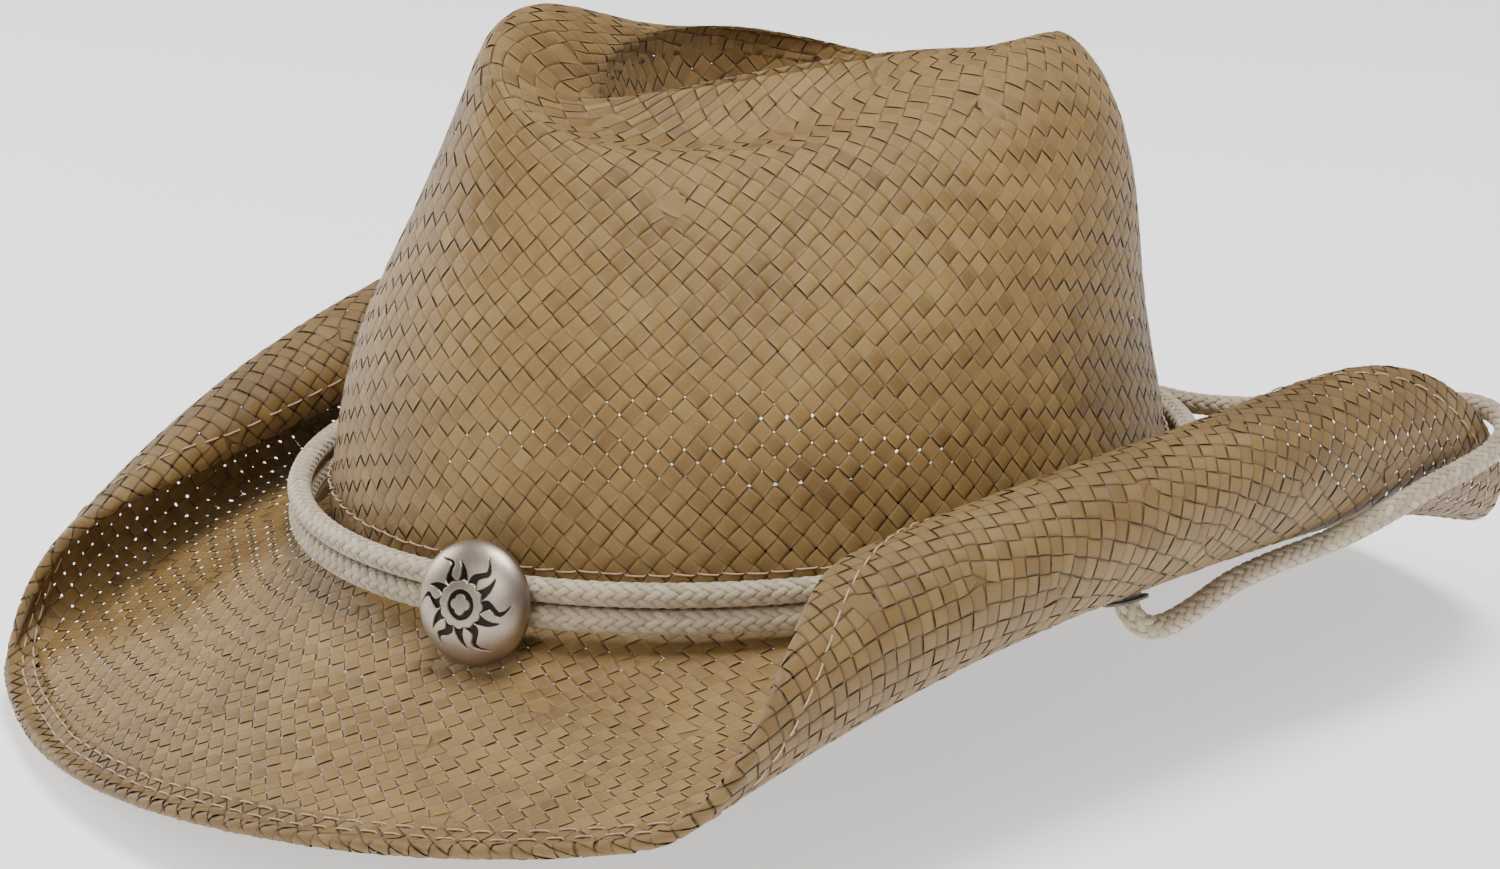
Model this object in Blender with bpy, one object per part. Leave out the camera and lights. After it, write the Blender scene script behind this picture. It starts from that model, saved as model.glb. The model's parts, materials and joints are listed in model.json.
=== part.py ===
"""Cowboy hat of woven paper straw: pinched crown, wired and rolled brim, cord band, concho, chin cord.

Metres, +Z up. The front of the hat faces -Y and the wearer's left is +X. The origin is the centre
of the head opening, in the plane where the crown is sewn to the brim. Angles run round the crown
from its front, 0, through the wearer's left, pi / 2, to its back, pi.
"""

import math

import bmesh
import bpy
from mathutils import Matrix, Vector

MM = 0.001
GAP = 0.3 * MM

# Base colour, roughness and metalness of each material.
STRAW = ((0.46, 0.35, 0.19), 0.6, 0.0)
COTTON = ((0.55, 0.50, 0.38), 0.9, 0.0)
CLOTH = ((0.06, 0.05, 0.04), 0.9, 0.0)
STEEL = ((0.60, 0.60, 0.60), 0.35, 1.0)
PEWTER = ((0.42, 0.40, 0.36), 0.45, 1.0)
DARK_METAL = ((0.12, 0.11, 0.10), 0.4, 1.0)
WOOD = ((0.10, 0.05, 0.03), 0.5, 0.0)

# The crown's foot is an ellipse, the size of a 58 cm head with its sweatband.
FOOT_HALF_WIDTH = 86.8 * MM
FOOT_HALF_LENGTH = 96.5 * MM
COLUMNS = 48
CORNER_CROWDING = 0.07

# The crown's control rings, from below the foot to the middle of the dish (mm): half width, half
# length, Y of the centre, narrowing to the front, height, and the part of the height that follows
# the cosine of the angle, the cosine of twice the angle and the sine of twice the angle.
CROWN_RINGS = (
    (86.8, 96.5, 0.0, 0.00, -15.0, 0.0, 0.0, 0.0),
    (86.8, 96.5, 0.0, 0.00, 0.0, 0.0, 0.0, 0.0),
    (86.8, 95.5, 0.5, 0.02, 15.0, 0.0, 0.0, 0.0),
    (77.9, 92.3, 0.5, 0.00, 42.3, 1.1, 0.0, 0.2),
    (74.6, 85.8, 7.4, 0.18, 68.6, 2.0, 0.0, -2.1),
    (64.2, 79.3, 8.8, 0.42, 91.7, 8.1, -1.4, -6.8),
    (46.5, 74.5, 6.5, 0.57, 92.4, 10.2, 1.4, -16.3),
    (30.4, 69.1, 20.7, 0.69, 93.9, 7.1, -5.8, -1.1),
    (33.6, 58.4, 15.7, 0.59, 93.3, 6.2, -3.9, -3.1),
    (26.0, 46.0, 14.0, 0.45, 80.5, 1.0, 0.0, -2.0),
    (12.0, 32.0, 14.0, 0.30, 74.5, 0.0, 0.0, 0.0),
    (3.0, 18.0, 14.0, 0.00, 73.5, 0.0, 0.0, 0.0),
)
# How far the two front pinches press each ring in, as a share of its radius.
PINCHES = (0, 0, 0, 0.01, 0.04, 0.06, 0.055, 0.03, 0.01, 0, 0, 0)
PINCH_ANGLE = math.radians(48)
PINCH_SPREAD = math.radians(24)
NARROWING_POWER = 1.2
CROWN_WALL = 1.2 * MM
CROWN_ROWS = 19

# The brim's width and its downward slope away from the crown, each as cosines of 0, 1, 2...
# times the angle, then sines of 1, 2... times the angle.
BRIM_WIDTH_COS = (81.7, -5.0, -8.5)
BRIM_WIDTH_SIN = (-4.4,)
BRIM_SLOPE_COS = (11.1, -0.8, 16.5, -2.2, -1.7, -0.4)
BRIM_SLOPE_SIN = (-4.5, -0.7, -3.2, 0.4)
FRONT_DIP = 5.0 * MM
FRONT_DIP_REACH = 15.0 * MM
BRIM_INNER = 1.2 * MM
BRIM_SHEET = 1.0 * MM
BRIM_STATIONS = 11

# The two side rolls are bent about lines that run from front to back: where they start from the
# middle of the hat, how fast that start closes in, the bend's radius along the hat, and how much
# the bend tightens towards the edge.
ROLL_START = 102.7 * MM
ROLL_START_SIDE = 1.7 * MM
ROLL_FRONT_LENGTH = 679 * MM
ROLL_BACK_LENGTH = 262.5 * MM
ROLL_RADIUS = (17.7, -2.1, 7.6, -5.9, -1.0)
ROLL_SIDE_BLEND = 30.0 * MM
ROLL_SPAN = 150.0 * MM
ROLL_TIGHTENING = 0.012

# The brim's edge is turned up over a wire and sewn down.
WIRE_RADIUS = 0.4 * MM
WIRE_CLEARANCE = 0.5 * MM
WIRE_FROM_EDGE = 2.0 * MM
WIRE_END_ANGLE = math.radians(0.4)
HEM_FLAP = 9.0 * MM
HEM_KNEE = 4.4 * MM

SWEATBAND_HEIGHT = 0.155
SWEATBAND_WALL = 1.0 * MM
SWEATBAND_ROWS = 4
SWEATBAND_SEAM = math.radians(1.0)
TAPE_HALF_ANGLE = math.radians(4.0)
TAPE_WALL = 0.8 * MM

# The band: two turns of braided cord, one above the other, held together at the back.
CORD_RADIUS = 2.6 * MM
CORD_SIDES = 8
BAND_OUT_FRONT = 5.6 * MM
BAND_OUT_BACK = 4.9 * MM
BAND_HEIGHT_COS = (4.01, -0.78, -0.19)
BAND_HEIGHT_SIN = (0.12,)
BAND_PITCH = 2 * CORD_RADIUS + GAP
BAND_POINTS = 48
COLLAR_WALL = 1.0 * MM
COLLAR_CLEARANCE = 0.6 * MM
COLLAR_LENGTH = 14.0 * MM

# The concho's place on the band, and its shape: a hollow dome with a loop behind it.
CONCHO_ANGLE = math.radians(17)
CONCHO_TILT = math.radians(14)
CONCHO_RADIUS = 12.5 * MM
CONCHO_HEIGHT = 6.2 * MM
CONCHO_WALL = 1.2 * MM
CONCHO_OUT = 4.6 * MM
LOOP_WALL = 0.6 * MM
LOOP_CLEARANCE = 0.3 * MM
LOOP_LENGTH = 6.0 * MM
LOOP_FRONT = 1.6 * MM
RIVET_TOP = 8.5 * MM
RIVET_RADIUS = 1.5 * MM

# The chin cord's two eyelets: the angle and the reach of each, then their common section.
EYELETS = {"left": (math.radians(90), 21.0 * MM), "right": (math.radians(-90), 21.0 * MM)}
EYELET_BORE = 3.0 * MM
EYELET_WALL = 0.5 * MM
EYELET_FLANGE = 4.8 * MM
EYELET_TOP = 2.3 * MM
WASHER_LIFT = 1.1 * MM
KNOT_RADIUS = 5.4 * MM
KNOT_HALF_HEIGHT = 4.2 * MM

# Where the chin cord's two halves run (mm): out of the eyelet under the brim, back along the
# roll, over the rear corner of the brim, behind the crown and through the slider to an end knot.
CHIN_ROUTES = {
    "left": (
        (106.9, 0.0, 3.7), (107.4, 0.0, 2.0), (108.0, 0.0, 0.2), (108.6, 0.3, -1.6),
        (109.5, 2.0, -4.2), (110.2, 5.5, -6.0), (110.6, 10.0, -6.2), (111.0, 17.0, -4.9),
        (111.3, 29.0, -1.9), (111.8, 41.0, -0.6), (113.0, 53.0, 0.3), (115.1, 64.5, 2.1),
        (116.7, 76.0, 4.7), (116.8, 88.0, 6.6), (115.7, 100.0, 7.2), (114.2, 112.0, 7.9),
        (113.1, 118.0, 8.8), (111.1, 123.6, 10.1), (107.5, 127.6, 11.5), (102.6, 129.4, 12.5),
        (96.9, 129.2, 12.9), (85.3, 125.4, 11.6), (62.9, 117.5, 7.8), (46.0, 111.5, 5.8),
        (34.4, 108.6, 5.1), (22.5, 108.8, 4.9), (13.0, 110.6, 4.9), (4.0, 110.6, 4.9),
        (-11.0, 110.6, 4.9), (-16.0, 111.8, 4.6), (-22.0, 116.5, 1.6), (-26.5, 121.5, -4.0),
        (-31.5, 127.5, -11.0), (-37.5, 134.5, -17.5), (-44.0, 141.5, -22.0),
    ),
    "right": (
        (-106.7, -0.1, 3.5), (-107.4, 0.0, 1.8), (-108.1, 0.0, 0.1), (-108.8, 0.4, -1.6),
        (-109.7, 2.1, -4.2), (-110.3, 5.5, -6.1), (-111.0, 11.0, -6.6), (-111.6, 17.0, -6.1),
        (-112.7, 29.0, -4.4), (-115.0, 47.0, -3.4), (-118.4, 64.5, -2.0), (-121.9, 82.0, 0.1),
        (-124.5, 99.7, 1.5), (-125.4, 111.7, 2.8), (-124.9, 117.7, 3.7), (-123.0, 123.2, 4.7),
        (-119.4, 127.1, 5.5), (-114.3, 129.0, 5.9), (-108.5, 128.8, 5.7), (-96.7, 125.6, 4.7),
        (-73.7, 119.3, 2.8), (-50.7, 113.1, 0.9), (-39.0, 110.5, -0.3), (-27.2, 109.5, -1.2),
        (-13.0, 110.6, -1.7), (-4.0, 110.6, -1.7), (11.0, 110.6, -1.7), (16.0, 111.6, -2.2),
        (19.8, 113.3, -3.4), (23.8, 116.7, -5.5), (26.6, 121.2, -8.2), (28.7, 126.2, -10.9),
        (30.6, 131.3, -13.2), (32.7, 136.4, -14.6), (35.2, 141.3, -15.6),
    ),
}
CHIN_SPACING = 4.5 * MM
END_KNOT_RADIUS = 4.6 * MM

# The slider: a bead behind the crown with one bore above the other.
SLIDER_CENTRE = Vector((0.0, 110.6, 1.6)) * MM
SLIDER_BORE = 3.0 * MM
SLIDER_PITCH = 6.6 * MM
SLIDER_HALF_DEPTH = 4.2 * MM
SLIDER_HALF_HEIGHT = 7.6 * MM
SLIDER_HALF_LENGTH = 7.0 * MM
SLIDER_ROUNDING = 1.0 * MM


# ---------------------------------------------------------------- shape of the hat


def series(cosines, sines, angle):
    """The value of a cosine and sine series at this angle."""
    value = sum(c * math.cos(k * angle) for k, c in enumerate(cosines))
    return value + sum(s * math.sin((k + 1) * angle) for k, s in enumerate(sines))


def foot_normal(angle):
    """The crown's outward direction at its foot."""
    normal = Vector((FOOT_HALF_LENGTH * math.sin(angle), -FOOT_HALF_WIDTH * math.cos(angle), 0))
    return normal.normalized()


def foot_point(angle, outward=0.0, height=0.0):
    """A point beside the crown's foot."""
    foot = Vector((FOOT_HALF_WIDTH * math.sin(angle), -FOOT_HALF_LENGTH * math.cos(angle), height))
    return foot + foot_normal(angle) * outward


def ring_point(index, angle):
    """A point of one of the crown's control rings."""
    half_width, half_length, middle, narrowing, height, tilt, arch, twist = CROWN_RINGS[index]
    off_pinch = abs(math.remainder(angle, 2 * math.pi)) - PINCH_ANGLE
    pressed = 1 - PINCHES[index] * math.exp(-((off_pinch / PINCH_SPREAD) ** 2))
    narrowed = 1 - narrowing * ((1 + math.cos(angle)) / 2) ** NARROWING_POWER
    x = half_width * math.sin(angle) * narrowed * pressed
    y = middle - half_length * math.cos(angle) * pressed
    z = height + tilt * math.cos(angle) + arch * math.cos(2 * angle) + twist * math.sin(2 * angle)
    return Vector((x, y, z)) * MM


def crown_point(angle, rise):
    """A point of the crown's outside: rise goes from 0 at its foot to 1 in the dish's middle."""
    spans = len(CROWN_RINGS) - 3
    place = min(max(rise, 0.0), 1.0) * spans
    first = min(int(place), spans - 1)
    f = place - first
    weights = ((1 - f) ** 3, 3 * f**3 - 6 * f**2 + 4, -3 * f**3 + 3 * f**2 + 3 * f + 1, f**3)
    point = Vector((0, 0, 0))
    for offset, weight in enumerate(weights):
        point += ring_point(first + offset, angle) * (weight / 6)
    return point


def brim_width(angle):
    return series(BRIM_WIDTH_COS, BRIM_WIDTH_SIN, angle) * MM


def brim_point(angle, reach):
    """A point of the brim's middle surface, at this reach from the crown's foot along the straw."""
    slope = math.radians(series(BRIM_SLOPE_COS, BRIM_SLOPE_SIN, angle))
    normal = foot_normal(angle)
    foot = foot_point(angle)
    flat = foot + normal * (reach * math.cos(slope))
    side = math.tanh(flat.x / ROLL_SIDE_BLEND)
    along = flat.y / ROLL_SPAN
    length = ROLL_FRONT_LENGTH if flat.y < 0 else ROLL_BACK_LENGTH
    closing = math.sqrt(max(1 - (flat.y / length) ** 2, 0.05))
    start = (ROLL_START + ROLL_START_SIDE * side) * closing
    mean, by_side, by_length, by_both, by_square = ROLL_RADIUS
    radius = mean + by_side * side + (by_length + by_both * side) * along + by_square * along**2
    full_radius = radius * MM
    flat_turn = max(abs(flat.x) - start, 0.0) / (full_radius * math.sqrt(math.cos(slope)))
    turn = flat_turn * (1 + ROLL_TIGHTENING * flat_turn**2 / 3)
    radius = full_radius * (1 - ROLL_TIGHTENING * turn**2)
    x = math.copysign(min(abs(flat.x), start) + radius * math.sin(turn), flat.x)
    rise = full_radius - radius * math.cos(turn)
    out = (x - foot.x) * normal.x + (flat.y - foot.y) * normal.y
    dip = FRONT_DIP * (1 + math.cos(angle)) / 2 * (1 - math.exp(-max(out, 0.0) / FRONT_DIP_REACH))
    return Vector((x, flat.y, rise - math.tan(slope) * out - dip))


def surface_normal(surface, angle, along, step):
    """The unit normal of a surface: up from the brim, inwards from the crown."""
    small = 0.002
    around = surface(angle + small, along) - surface(angle - small, along)
    outward = surface(angle, along + step) - surface(angle, along - step)
    return outward.cross(around).normalized()


def brim_offset(angle, reach, lift):
    """A point this far above the brim's middle surface."""
    return brim_point(angle, reach) + surface_normal(brim_point, angle, reach, 0.0005) * lift


def crown_offset(angle, rise, inward):
    """A point this far inside the crown's outer surface."""
    rise = min(max(rise, 0.001), 0.999)
    return crown_point(angle, rise) + surface_normal(crown_point, angle, rise, 0.001) * inward


# ---------------------------------------------------------------- mesh helpers


def material(name, finish):
    color, roughness, metallic = finish
    made = bpy.data.materials.new(name)
    made.use_nodes = True
    shader = made.node_tree.nodes["Principled BSDF"]
    shader.inputs["Base Color"].default_value = (*color, 1.0)
    shader.inputs["Roughness"].default_value = roughness
    shader.inputs["Metallic"].default_value = metallic
    return made


def object_from(name, mesh, finish, place=None, smooth=True):
    """Makes a named object with its own material from a bmesh, and frees the bmesh."""
    bmesh.ops.recalc_face_normals(mesh, faces=mesh.faces)
    data = bpy.data.meshes.new(name)
    mesh.to_mesh(data)
    mesh.free()
    if smooth:
        data.shade_smooth()
    data.materials.append(material(name, finish))
    made = bpy.data.objects.new(name, data)
    bpy.context.collection.objects.link(made)
    if place is not None:
        made.matrix_world = place
    return made


def bridge(mesh, rings, close_rows):
    """Joins rings of vertices, each a closed loop, into a skin; close_rows joins last to first."""
    count = len(rings[0])
    following = rings[1:] + rings[:1] if close_rows else rings[1:]
    for lower, upper in zip(rings, following):
        for i in range(count):
            j = (i + 1) % count
            mesh.faces.new((lower[i], lower[j], upper[j], upper[i]))


def rings_of(mesh, points):
    """Vertices from a list of rings of points."""
    return [[mesh.verts.new(point) for point in ring] for ring in points]


def capped_skin(mesh, points):
    """A skin over these rings of points, closed by a flat face at each end."""
    rings = rings_of(mesh, points)
    bridge(mesh, rings, close_rows=False)
    mesh.faces.new(rings[0])
    mesh.faces.new(rings[-1])


def column_angle(index):
    """The angle of a column of vertices. Columns stand closer at the brim's four corners."""
    turn = 2 * math.pi * index / COLUMNS
    return turn + CORNER_CROWDING * math.sin(4 * turn)


def column_angles():
    return [column_angle(i) for i in range(COLUMNS)]


def open_round(half_gap):
    """Angles once round the hat from the back to the back, less this much at each end."""
    half = COLUMNS // 2
    inner = [column_angle(i) for i in range(half + 1, half + COLUMNS)]
    return [math.pi + half_gap] + inner + [3 * math.pi - half_gap]


def cord(name, points):
    """A cord along these points, with a round section and filled caps."""
    curve = bpy.data.curves.new(name, "CURVE")
    curve.dimensions = "3D"
    curve.bevel_depth = CORD_RADIUS
    curve.bevel_resolution = (CORD_SIDES - 4) // 2
    curve.use_fill_caps = True
    spline = curve.splines.new("POLY")
    spline.points.add(len(points) - 1)
    for target, point in zip(spline.points, points):
        target.co = (*point, 1.0)
    curve.materials.append(material(name, COTTON))
    made = bpy.data.objects.new(name, curve)
    bpy.context.collection.objects.link(made)
    return made


def cut(target, cutter):
    """Cuts one object out of another, and hides the cutter."""
    cutter.hide_render = True
    cutter.display_type = "WIRE"
    modifier = target.modifiers.new(cutter.name, "BOOLEAN")
    modifier.operation = "DIFFERENCE"
    modifier.solver = "EXACT"
    modifier.object = cutter


def cylinder(name, radius, depth, segments, finish, place):
    mesh = bmesh.new()
    bmesh.ops.create_cone(
        mesh, cap_ends=True, segments=segments, radius1=radius, radius2=radius, depth=depth
    )
    return object_from(name, mesh, finish, place)


def lathe(name, outline, segments, finish, place):
    """Turns a closed outline of (radius, height) about its own Z axis."""
    mesh = bmesh.new()
    columns = []
    for i in range(segments):
        turn = 2 * math.pi * i / segments
        columns.append([(r * math.cos(turn), r * math.sin(turn), h) for r, h in outline])
    bridge(mesh, rings_of(mesh, columns), close_rows=True)
    bmesh.ops.remove_doubles(mesh, verts=mesh.verts, dist=0.001 * MM)
    bmesh.ops.dissolve_degenerate(mesh, edges=mesh.edges, dist=0.001 * MM)
    return object_from(name, mesh, finish, place)


def square_loop(name, half_depth, half_height, wall, front, length, finish, place):
    """A rectangular loop round both turns of the band, open along its local X."""
    inside = (-half_depth, half_depth, half_height)
    outside = (-half_depth - wall, half_depth + front, half_height + wall)
    columns = []
    for x, (low, high, rise) in (
        (-length / 2, inside),
        (-length / 2, outside),
        (length / 2, outside),
        (length / 2, inside),
    ):
        columns.append([(x, -rise, low), (x, rise, low), (x, rise, high), (x, -rise, high)])
    mesh = bmesh.new()
    bridge(mesh, rings_of(mesh, columns), close_rows=True)
    return object_from(name, mesh, finish, place, smooth=False)


def frame_at(origin, axis, up=Vector((0, 0, 1))):
    """A placing matrix: local Z along axis, local Y as near to up as can be."""
    z = axis.normalized()
    x = up.cross(z).normalized()
    y = z.cross(x)
    turned = Matrix((x, y, z)).transposed().to_4x4()
    return Matrix.Translation(origin) @ turned


def smooth_route(route, spacing):
    """Points about this far apart on one smooth curve through the route's points."""
    marks = [Vector(mark) * MM for mark in route]
    marks = [marks[0] * 2 - marks[1]] + marks + [marks[-1] * 2 - marks[-2]]
    fine = []
    for span in range(len(marks) - 3):
        before, first, second, after = marks[span : span + 4]
        lead = (first - before).length ** 0.5
        main = (second - first).length ** 0.5
        tail = (after - second).length ** 0.5
        leaving = (first - before) / lead - (second - before) / (lead + main)
        leaving = (leaving + (second - first) / main) * main
        arriving = (second - first) / main - (after - first) / (main + tail)
        arriving = (arriving + (after - second) / tail) * main
        for step in range(16):
            f = step / 16
            point = first * (2 * f**3 - 3 * f**2 + 1) + second * (3 * f**2 - 2 * f**3)
            fine.append(point + leaving * (f**3 - 2 * f**2 + f) + arriving * (f**3 - f**2))
    fine.append(marks[-2])
    lengths = [0.0]
    for start, end in zip(fine, fine[1:]):
        lengths.append(lengths[-1] + (end - start).length)
    count = round(lengths[-1] / spacing)
    points = []
    at = 0
    for i in range(count + 1):
        wanted = lengths[-1] * i / count
        while at < len(fine) - 2 and lengths[at + 1] < wanted:
            at += 1
        share = (wanted - lengths[at]) / (lengths[at + 1] - lengths[at])
        points.append(fine[at].lerp(fine[at + 1], share))
    return points


# ---------------------------------------------------------------- straw shells


def make_crown():
    """The woven crown: an outer and an inner skin, joined at the foot and closed in the dish."""
    mesh = bmesh.new()
    rises = [i / CROWN_ROWS for i in range(CROWN_ROWS + 1)]
    outer = [[crown_offset(a, rise, 0.0) for a in column_angles()] for rise in rises]
    inner = [[crown_offset(a, rise, CROWN_WALL) for a in column_angles()] for rise in rises]
    for point in inner[0]:
        point.z = outer[0][0].z
    skins = rings_of(mesh, inner[::-1] + outer)
    bridge(mesh, skins, close_rows=False)
    for ring in (skins[0], skins[-1]):
        middle = mesh.verts.new(sum((vert.co for vert in ring), Vector()) / len(ring))
        for i, vert in enumerate(ring):
            mesh.faces.new((vert, ring[(i + 1) % len(ring)], middle))
    return object_from("crown", mesh, STRAW)


def hem_section(width):
    """The brim's section as (reach, lift) pairs: out underneath, round the wire, back on top."""
    half = BRIM_SHEET / 2
    centre = half + WIRE_CLEARANCE + WIRE_RADIUS
    bend = centre + half
    channel = WIRE_RADIUS + WIRE_CLEARANCE
    wire = width - WIRE_FROM_EDGE
    knee = width - HEM_KNEE
    flap = width - HEM_FLAP
    flap_low = half + GAP
    flap_high = flap_low + BRIM_SHEET
    inner = [BRIM_INNER + (flap - BRIM_INNER) * i / BRIM_STATIONS for i in range(BRIM_STATIONS)]
    section = [(reach, -half) for reach in inner + [flap, knee]]
    for turn in (-90, -45, 0, 45, 90):
        reach = wire + bend * math.cos(math.radians(turn))
        section.append((reach, centre + bend * math.sin(math.radians(turn))))
    section += [(knee, flap_high), (flap, flap_high), (flap, flap_low), (knee, flap_low)]
    for turn in (135, 90, 45, 0, -45, -90):
        reach = wire + channel * math.cos(math.radians(turn))
        section.append((reach, centre + channel * math.sin(math.radians(turn))))
    section += [(reach, half) for reach in [knee, flap] + inner[::-1]]
    return section


def make_brim():
    """The woven brim in one sheet, its edge turned up and back over the wire."""
    mesh = bmesh.new()
    columns = []
    for angle in column_angles():
        section = hem_section(brim_width(angle))
        columns.append([brim_offset(angle, reach, lift) for reach, lift in section])
    bridge(mesh, rings_of(mesh, columns), close_rows=True)
    return object_from("brim", mesh, STRAW)


def make_brim_wire():
    """The wire in the hem: a ring with its ends butted at the back."""
    lift = BRIM_SHEET / 2 + WIRE_CLEARANCE + WIRE_RADIUS
    rings = []
    for angle in open_round(WIRE_END_ANGLE):
        reach = brim_width(angle) - WIRE_FROM_EDGE
        ring = []
        for side in range(6):
            turn = math.pi * side / 3
            out = reach + WIRE_RADIUS * math.cos(turn)
            ring.append(brim_offset(angle, out, lift + WIRE_RADIUS * math.sin(turn)))
        rings.append(ring)
    mesh = bmesh.new()
    capped_skin(mesh, rings)
    return object_from("brim_wire", mesh, STEEL)


def lining(name, angles, outside, wall):
    """A strip of cloth standing inside the crown, this far in from the crown's outer surface."""
    rises = [0.004 + SWEATBAND_HEIGHT * i / SWEATBAND_ROWS for i in range(SWEATBAND_ROWS + 1)]
    rings = []
    for angle in angles:
        ring = [crown_offset(angle, rise, outside) for rise in rises]
        ring += [crown_offset(angle, rise, outside + wall) for rise in rises[::-1]]
        rings.append(ring)
    mesh = bmesh.new()
    capped_skin(mesh, rings)
    return object_from(name, mesh, CLOTH)


def make_sweatband():
    """The sweatband, open by a seam at the back, and the tape that covers the seam."""
    outside = CROWN_WALL + GAP
    lining("sweatband", open_round(SWEATBAND_SEAM), outside, SWEATBAND_WALL)
    tape = [math.pi + TAPE_HALF_ANGLE * share for share in (-1.0, -0.5, 0.0, 0.5, 1.0)]
    lining("sweatband_tape", tape, outside + SWEATBAND_WALL + GAP, TAPE_WALL)


# ---------------------------------------------------------------- band and concho


def band_centre(angle, turn):
    """The middle of one turn of the band's cord: turn 0 is the lower one, 1 the upper one."""
    front = (1 + math.cos(angle)) / 2
    outward = BAND_OUT_BACK + (BAND_OUT_FRONT - BAND_OUT_BACK) * front
    height = series(BAND_HEIGHT_COS, BAND_HEIGHT_SIN, angle) * MM + BAND_PITCH * turn
    return foot_point(angle, outward, height)


def band_frame(angle):
    """Midway between the band's two turns: local Z outward, local Y up."""
    middle = (band_centre(angle, 0) + band_centre(angle, 1)) / 2
    return frame_at(middle, foot_normal(angle))


def make_band():
    """The two turns of the band, their ends butted at the back inside a collar."""
    end = math.radians(0.25)
    for turn, name in enumerate(("hatband_cord_lower", "hatband_cord_upper")):
        sweep = 2 * math.pi - 2 * end
        angles = [math.pi + end + sweep * i / BAND_POINTS for i in range(BAND_POINTS + 1)]
        cord(name, [band_centre(a, turn) for a in angles])
    half_depth = CORD_RADIUS + COLLAR_CLEARANCE
    half_height = BAND_PITCH / 2 + half_depth
    place = band_frame(math.pi)
    square_loop(
        "hatband_collar", half_depth, half_height, COLLAR_WALL, COLLAR_WALL, COLLAR_LENGTH,
        DARK_METAL, place,
    )  # fmt: skip


def concho_pivot():
    """The centre of the bend that the band has at the concho, level with the band."""
    before, here, after = (band_frame(CONCHO_ANGLE + step).translation for step in (-0.1, 0, 0.1))
    a = (after - here).to_2d()
    b = (before - here).to_2d()
    spread = 2 * (a.x * b.y - a.y * b.x)
    x = (b.y * a.length_squared - a.y * b.length_squared) / spread
    y = (a.x * b.length_squared - b.x * a.length_squared) / spread
    return here + Vector((x, y, 0))


def make_concho():
    """The domed concho, the loop behind it that both cords pass through, and their rivet."""
    level = band_frame(CONCHO_ANGLE)
    tilted = level @ Matrix.Translation((0, 0, CONCHO_OUT)) @ Matrix.Rotation(-CONCHO_TILT, 4, "X")
    steps = 6
    quarter = [math.pi / 2 * i / steps for i in range(steps)]
    outer = [(CONCHO_RADIUS * math.cos(t), CONCHO_HEIGHT * math.sin(t)) for t in quarter]
    inner_radius = CONCHO_RADIUS - CONCHO_WALL
    inner_height = CONCHO_HEIGHT - CONCHO_WALL
    inner = [(inner_radius * math.cos(t), inner_height * math.sin(t)) for t in quarter]
    outline = outer + [(0, CONCHO_HEIGHT), (0, inner_height)] + inner[::-1]
    dome = lathe("concho_dome", outline, 32, PEWTER, tilted)

    half_depth = CORD_RADIUS + LOOP_CLEARANCE
    half_height = BAND_PITCH / 2 + half_depth
    loop = square_loop(
        "concho_loop", half_depth, half_height, LOOP_WALL, LOOP_FRONT, LOOP_LENGTH, PEWTER, level
    )
    base = half_depth + LOOP_FRONT + GAP
    middle = level @ Matrix.Translation((0, 0, (RIVET_TOP + base) / 2))
    rivet = cylinder("concho_rivet", RIVET_RADIUS, RIVET_TOP - base, 16, PEWTER, middle)

    pivot = bpy.data.objects.new("concho_pivot", None)
    bpy.context.collection.objects.link(pivot)
    pivot.location = concho_pivot()
    bpy.context.view_layer.update()
    for piece in (dome, loop, rivet):
        piece.parent = pivot
        piece.matrix_parent_inverse = pivot.matrix_world.inverted()


# ---------------------------------------------------------------- chin cord


def eyelet_frame(side):
    """On the brim's middle surface at an eyelet: local Z up out of the brim's top side."""
    angle, reach = EYELETS[side]
    up = surface_normal(brim_point, angle, reach, 0.0005)
    return frame_at(brim_point(angle, reach), up, foot_normal(angle))


def make_eyelet(side):
    """One of the two eyelets: a flanged barrel from below and a washer on top of the straw."""
    place = eyelet_frame(side)
    half = BRIM_SHEET / 2
    barrel = EYELET_BORE + EYELET_WALL
    low = -half - GAP
    outline = [
        (EYELET_BORE, low - EYELET_WALL),
        (EYELET_FLANGE, low - EYELET_WALL),
        (EYELET_FLANGE, low),
        (barrel, low),
        (barrel, EYELET_TOP),
        (EYELET_BORE, EYELET_TOP),
    ]
    lathe(f"eyelet_{side}", outline, 20, DARK_METAL, place)
    inner = barrel + GAP
    rest = half + WASHER_LIFT
    ring = [(inner, rest), (EYELET_FLANGE, rest)]
    ring += [(EYELET_FLANGE, rest + EYELET_WALL), (inner, rest + EYELET_WALL)]
    lathe(f"eyelet_washer_{side}", ring, 20, DARK_METAL, place)
    hole = cylinder(f"eyelet_hole_{side}", inner, 12 * MM, 20, DARK_METAL, place)
    cut(bpy.data.objects["brim"], hole)


def make_knot(name, radius, half_height, place):
    """The plain round stand-in for a knot."""
    steps = 6
    turns = [-math.pi / 2 + math.pi * i / steps for i in range(steps + 1)]
    outline = [(radius * math.cos(t), half_height * math.sin(t)) for t in turns]
    outline[0] = (0, -half_height)
    outline[-1] = (0, half_height)
    lathe(name, outline, 12, COTTON, place)


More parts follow.
